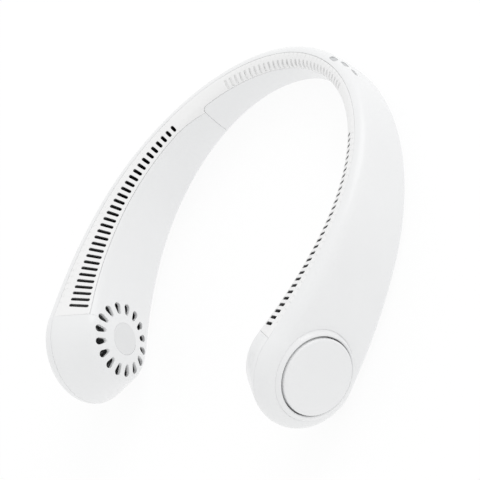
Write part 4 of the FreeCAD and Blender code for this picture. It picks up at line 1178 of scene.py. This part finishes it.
class FAN_OT_trim(Operator):
    """Light guides in the oval windows, and the bare disc in the left dome"""
    bl_idname = "neck_fan.trim"
    bl_label = "Windows and Label"
    # Insets of a light guide's foot and face as shares of its width, and its shoulder below the face
    FOOT_INSET, FACE_INSET, SHOULDER = 0.02, 0.1, 1.3

    def execute(self, context):
        fan = Fan()
        self.guides(fan)
        self.label(fan)
        return {"FINISHED"}

    def guides(self, fan):
        window = fan.window
        heights = ((-fan.wall, self.FOOT_INSET), (-window.recess * self.SHOULDER, self.FOOT_INSET),
                   (-window.recess, self.FACE_INSET))
        made = bmesh.new()
        for matrix in window_frames(fan):
            stack(made, [lifted(oval_points(window.long, window.wide, window.wide * inset), height, matrix)
                         for height, inset in heights])
        bmesh.ops.recalc_face_normals(made, faces=made.faces)
        add_object("indicator_guides", made, ["lens"], replaced=["indicator_lenses"])

    def label(self, fan):
        radius, depth, edge = fan.grille.label_radius, fan.grille.label_depth, fan.grille.label_edge
        height = fan.face_height("inner", 0.0, radius)
        profile = [(0, height), (radius - edge, height), (radius, height + edge),
                   (radius, height + depth), (0, height + depth)]
        made = lathe(profile, fan.rest @ fan.pod(LEFT))
        add_object("label_disc", made, ["label"], replaced=["hub_label"])


class FAN_OT_works(Operator):
    """Finishes of the blowers, board and cells inside the shells"""
    bl_idname = "neck_fan.works"
    bl_label = "Inner Works"
    WORDS = {
        "impeller": "wheel", "bracket": "frame", "tray": "frame", "shaft": "metal", "motor": "metal",
        "board": "board", "switch": "frame", "usb": "metal", "battery": "cell",
    }

    def execute(self, context):
        for name, node in frame["nodes"].items():
            key = next((key for word, key in self.WORDS.items() if word in name), "shell")
            node.data.materials.clear()
            node.data.materials.append(finish(key))
        return {"FINISHED"}


class FAN_OT_stage(Operator):
    """Floor, light and the camera"""
    bl_idname = "neck_fan.stage"
    bl_label = "Stage"
    CLIP_START, CLIP_END = 0.01, 100

    def execute(self, context):
        view = settings().view
        scene = context.scene
        scene.view_settings.view_transform = "Standard"
        self.camera(scene, view)
        self.world(scene, view)
        self.lamp(view)
        self.floor(view)
        return {"FINISHED"}

    def camera(self, scene, view):
        camera = link("camera", bpy.data.cameras.new("camera"))
        camera.data.lens = view.lens
        camera.data.clip_start, camera.data.clip_end = self.CLIP_START, self.CLIP_END
        back = Vector((math.sin(view.azimuth) * math.cos(view.elevation),
                       -math.cos(view.azimuth) * math.cos(view.elevation), math.sin(view.elevation)))
        turn = (-back).to_track_quat("-Z", "Y").to_matrix() @ Matrix.Rotation(view.roll, 3, "Z")
        camera.matrix_world = Matrix.Translation(view.eye) @ turn.to_4x4()
        scene.camera = camera

    def world(self, scene, view):
        scene.world = bpy.data.worlds.new("studio")
        shader = Shader(scene.world)
        lit = shader.node("Background", {"Color": WHITE, "Strength": view.world})
        white = shader.node("Background", {"Color": WHITE, "Strength": 1.0})
        shader.backdrop(lit, white)

    def lamp(self, view):
        lamp = link("key", bpy.data.lights.new("key", "AREA"))
        lamp.data.energy, lamp.data.size = view.key, view.key_size
        lamp.location = view.key_place
        lamp.rotation_mode = "QUATERNION"
        lamp.rotation_quaternion = (-view.key_place).to_track_quat("-Z", "Y")

    def floor(self, view):
        made = bmesh.new()
        bmesh.ops.create_circle(made, cap_ends=True, segments=FLOOR_STEPS, radius=view.floor)
        floor = new_object("floor", made)
        shader = Shader(bpy.data.materials.new("pale_floor"))
        lit = shader.node("Emission", {"Color": WHITE, "Strength": view.floor_light})
        veil = shader.node("BsdfDiffuse", {"Color": view.floor_tone})
        glow = shader.node("Emission", {"Color": WHITE, "Strength": view.floor_glow})
        floor.data.materials.append(shader.backdrop(lit, shader.node("AddShader", (veil, glow))))
        floor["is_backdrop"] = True


class FAN_PT_sidebar(Panel):
    """Steps that dress the fan, and their sizes"""
    bl_idname = "FAN_PT_sidebar"
    bl_label = "Neck Fan"
    bl_space_type = "VIEW_3D"
    bl_region_type = "UI"
    bl_category = "Neck Fan"

    def draw(self, context):
        for step in STEPS:
            self.layout.operator(step.bl_idname)
        for group in context.scene.neck_fan.bl_rna.properties:
            if group.type == "POINTER" and group.identifier != "rna_type":
                box = self.layout.box()
                box.label(text=group.identifier.title())
                sizes = getattr(context.scene.neck_fan, group.identifier)
                for size in sizes.bl_rna.properties:
                    if size.identifier not in ("rna_type", "name"):
                        box.prop(sizes, size.identifier)


GROUPS = (FanSpine, FanBand, FanOutlet, FanGrille, FanDisc, FanWindow, FanFinish, FanView, FanSettings)
STEPS = (FAN_OT_works, FAN_OT_outer_shell, FAN_OT_inner_shells, FAN_OT_outlet_strip, FAN_OT_neck_panel,
         FAN_OT_discs, FAN_OT_trim, FAN_OT_stage)


def register():
    for item in (*GROUPS, *STEPS, FAN_PT_sidebar):
        bpy.utils.register_class(item)
    bpy.types.Scene.neck_fan = PointerProperty(type=FanSettings)


def unregister():
    del bpy.types.Scene.neck_fan
    for item in reversed((*GROUPS, *STEPS, FAN_PT_sidebar)):
        bpy.utils.unregister_class(item)


def main():
    register()
    bpy.ops.neck_fan.works()
    bpy.ops.neck_fan.outer_shell()
    bpy.ops.neck_fan.inner_shells()
    bpy.ops.neck_fan.outlet_strip()
    bpy.ops.neck_fan.neck_panel()
    bpy.ops.neck_fan.discs()
    bpy.ops.neck_fan.trim()
    bpy.ops.neck_fan.stage()
    boxes = {"cad": CAD_BOX, "visual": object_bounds()}
    {name: [list(corner) for corner in box] for name, box in boxes.items()}


if __name__ == "__main__":
    main()
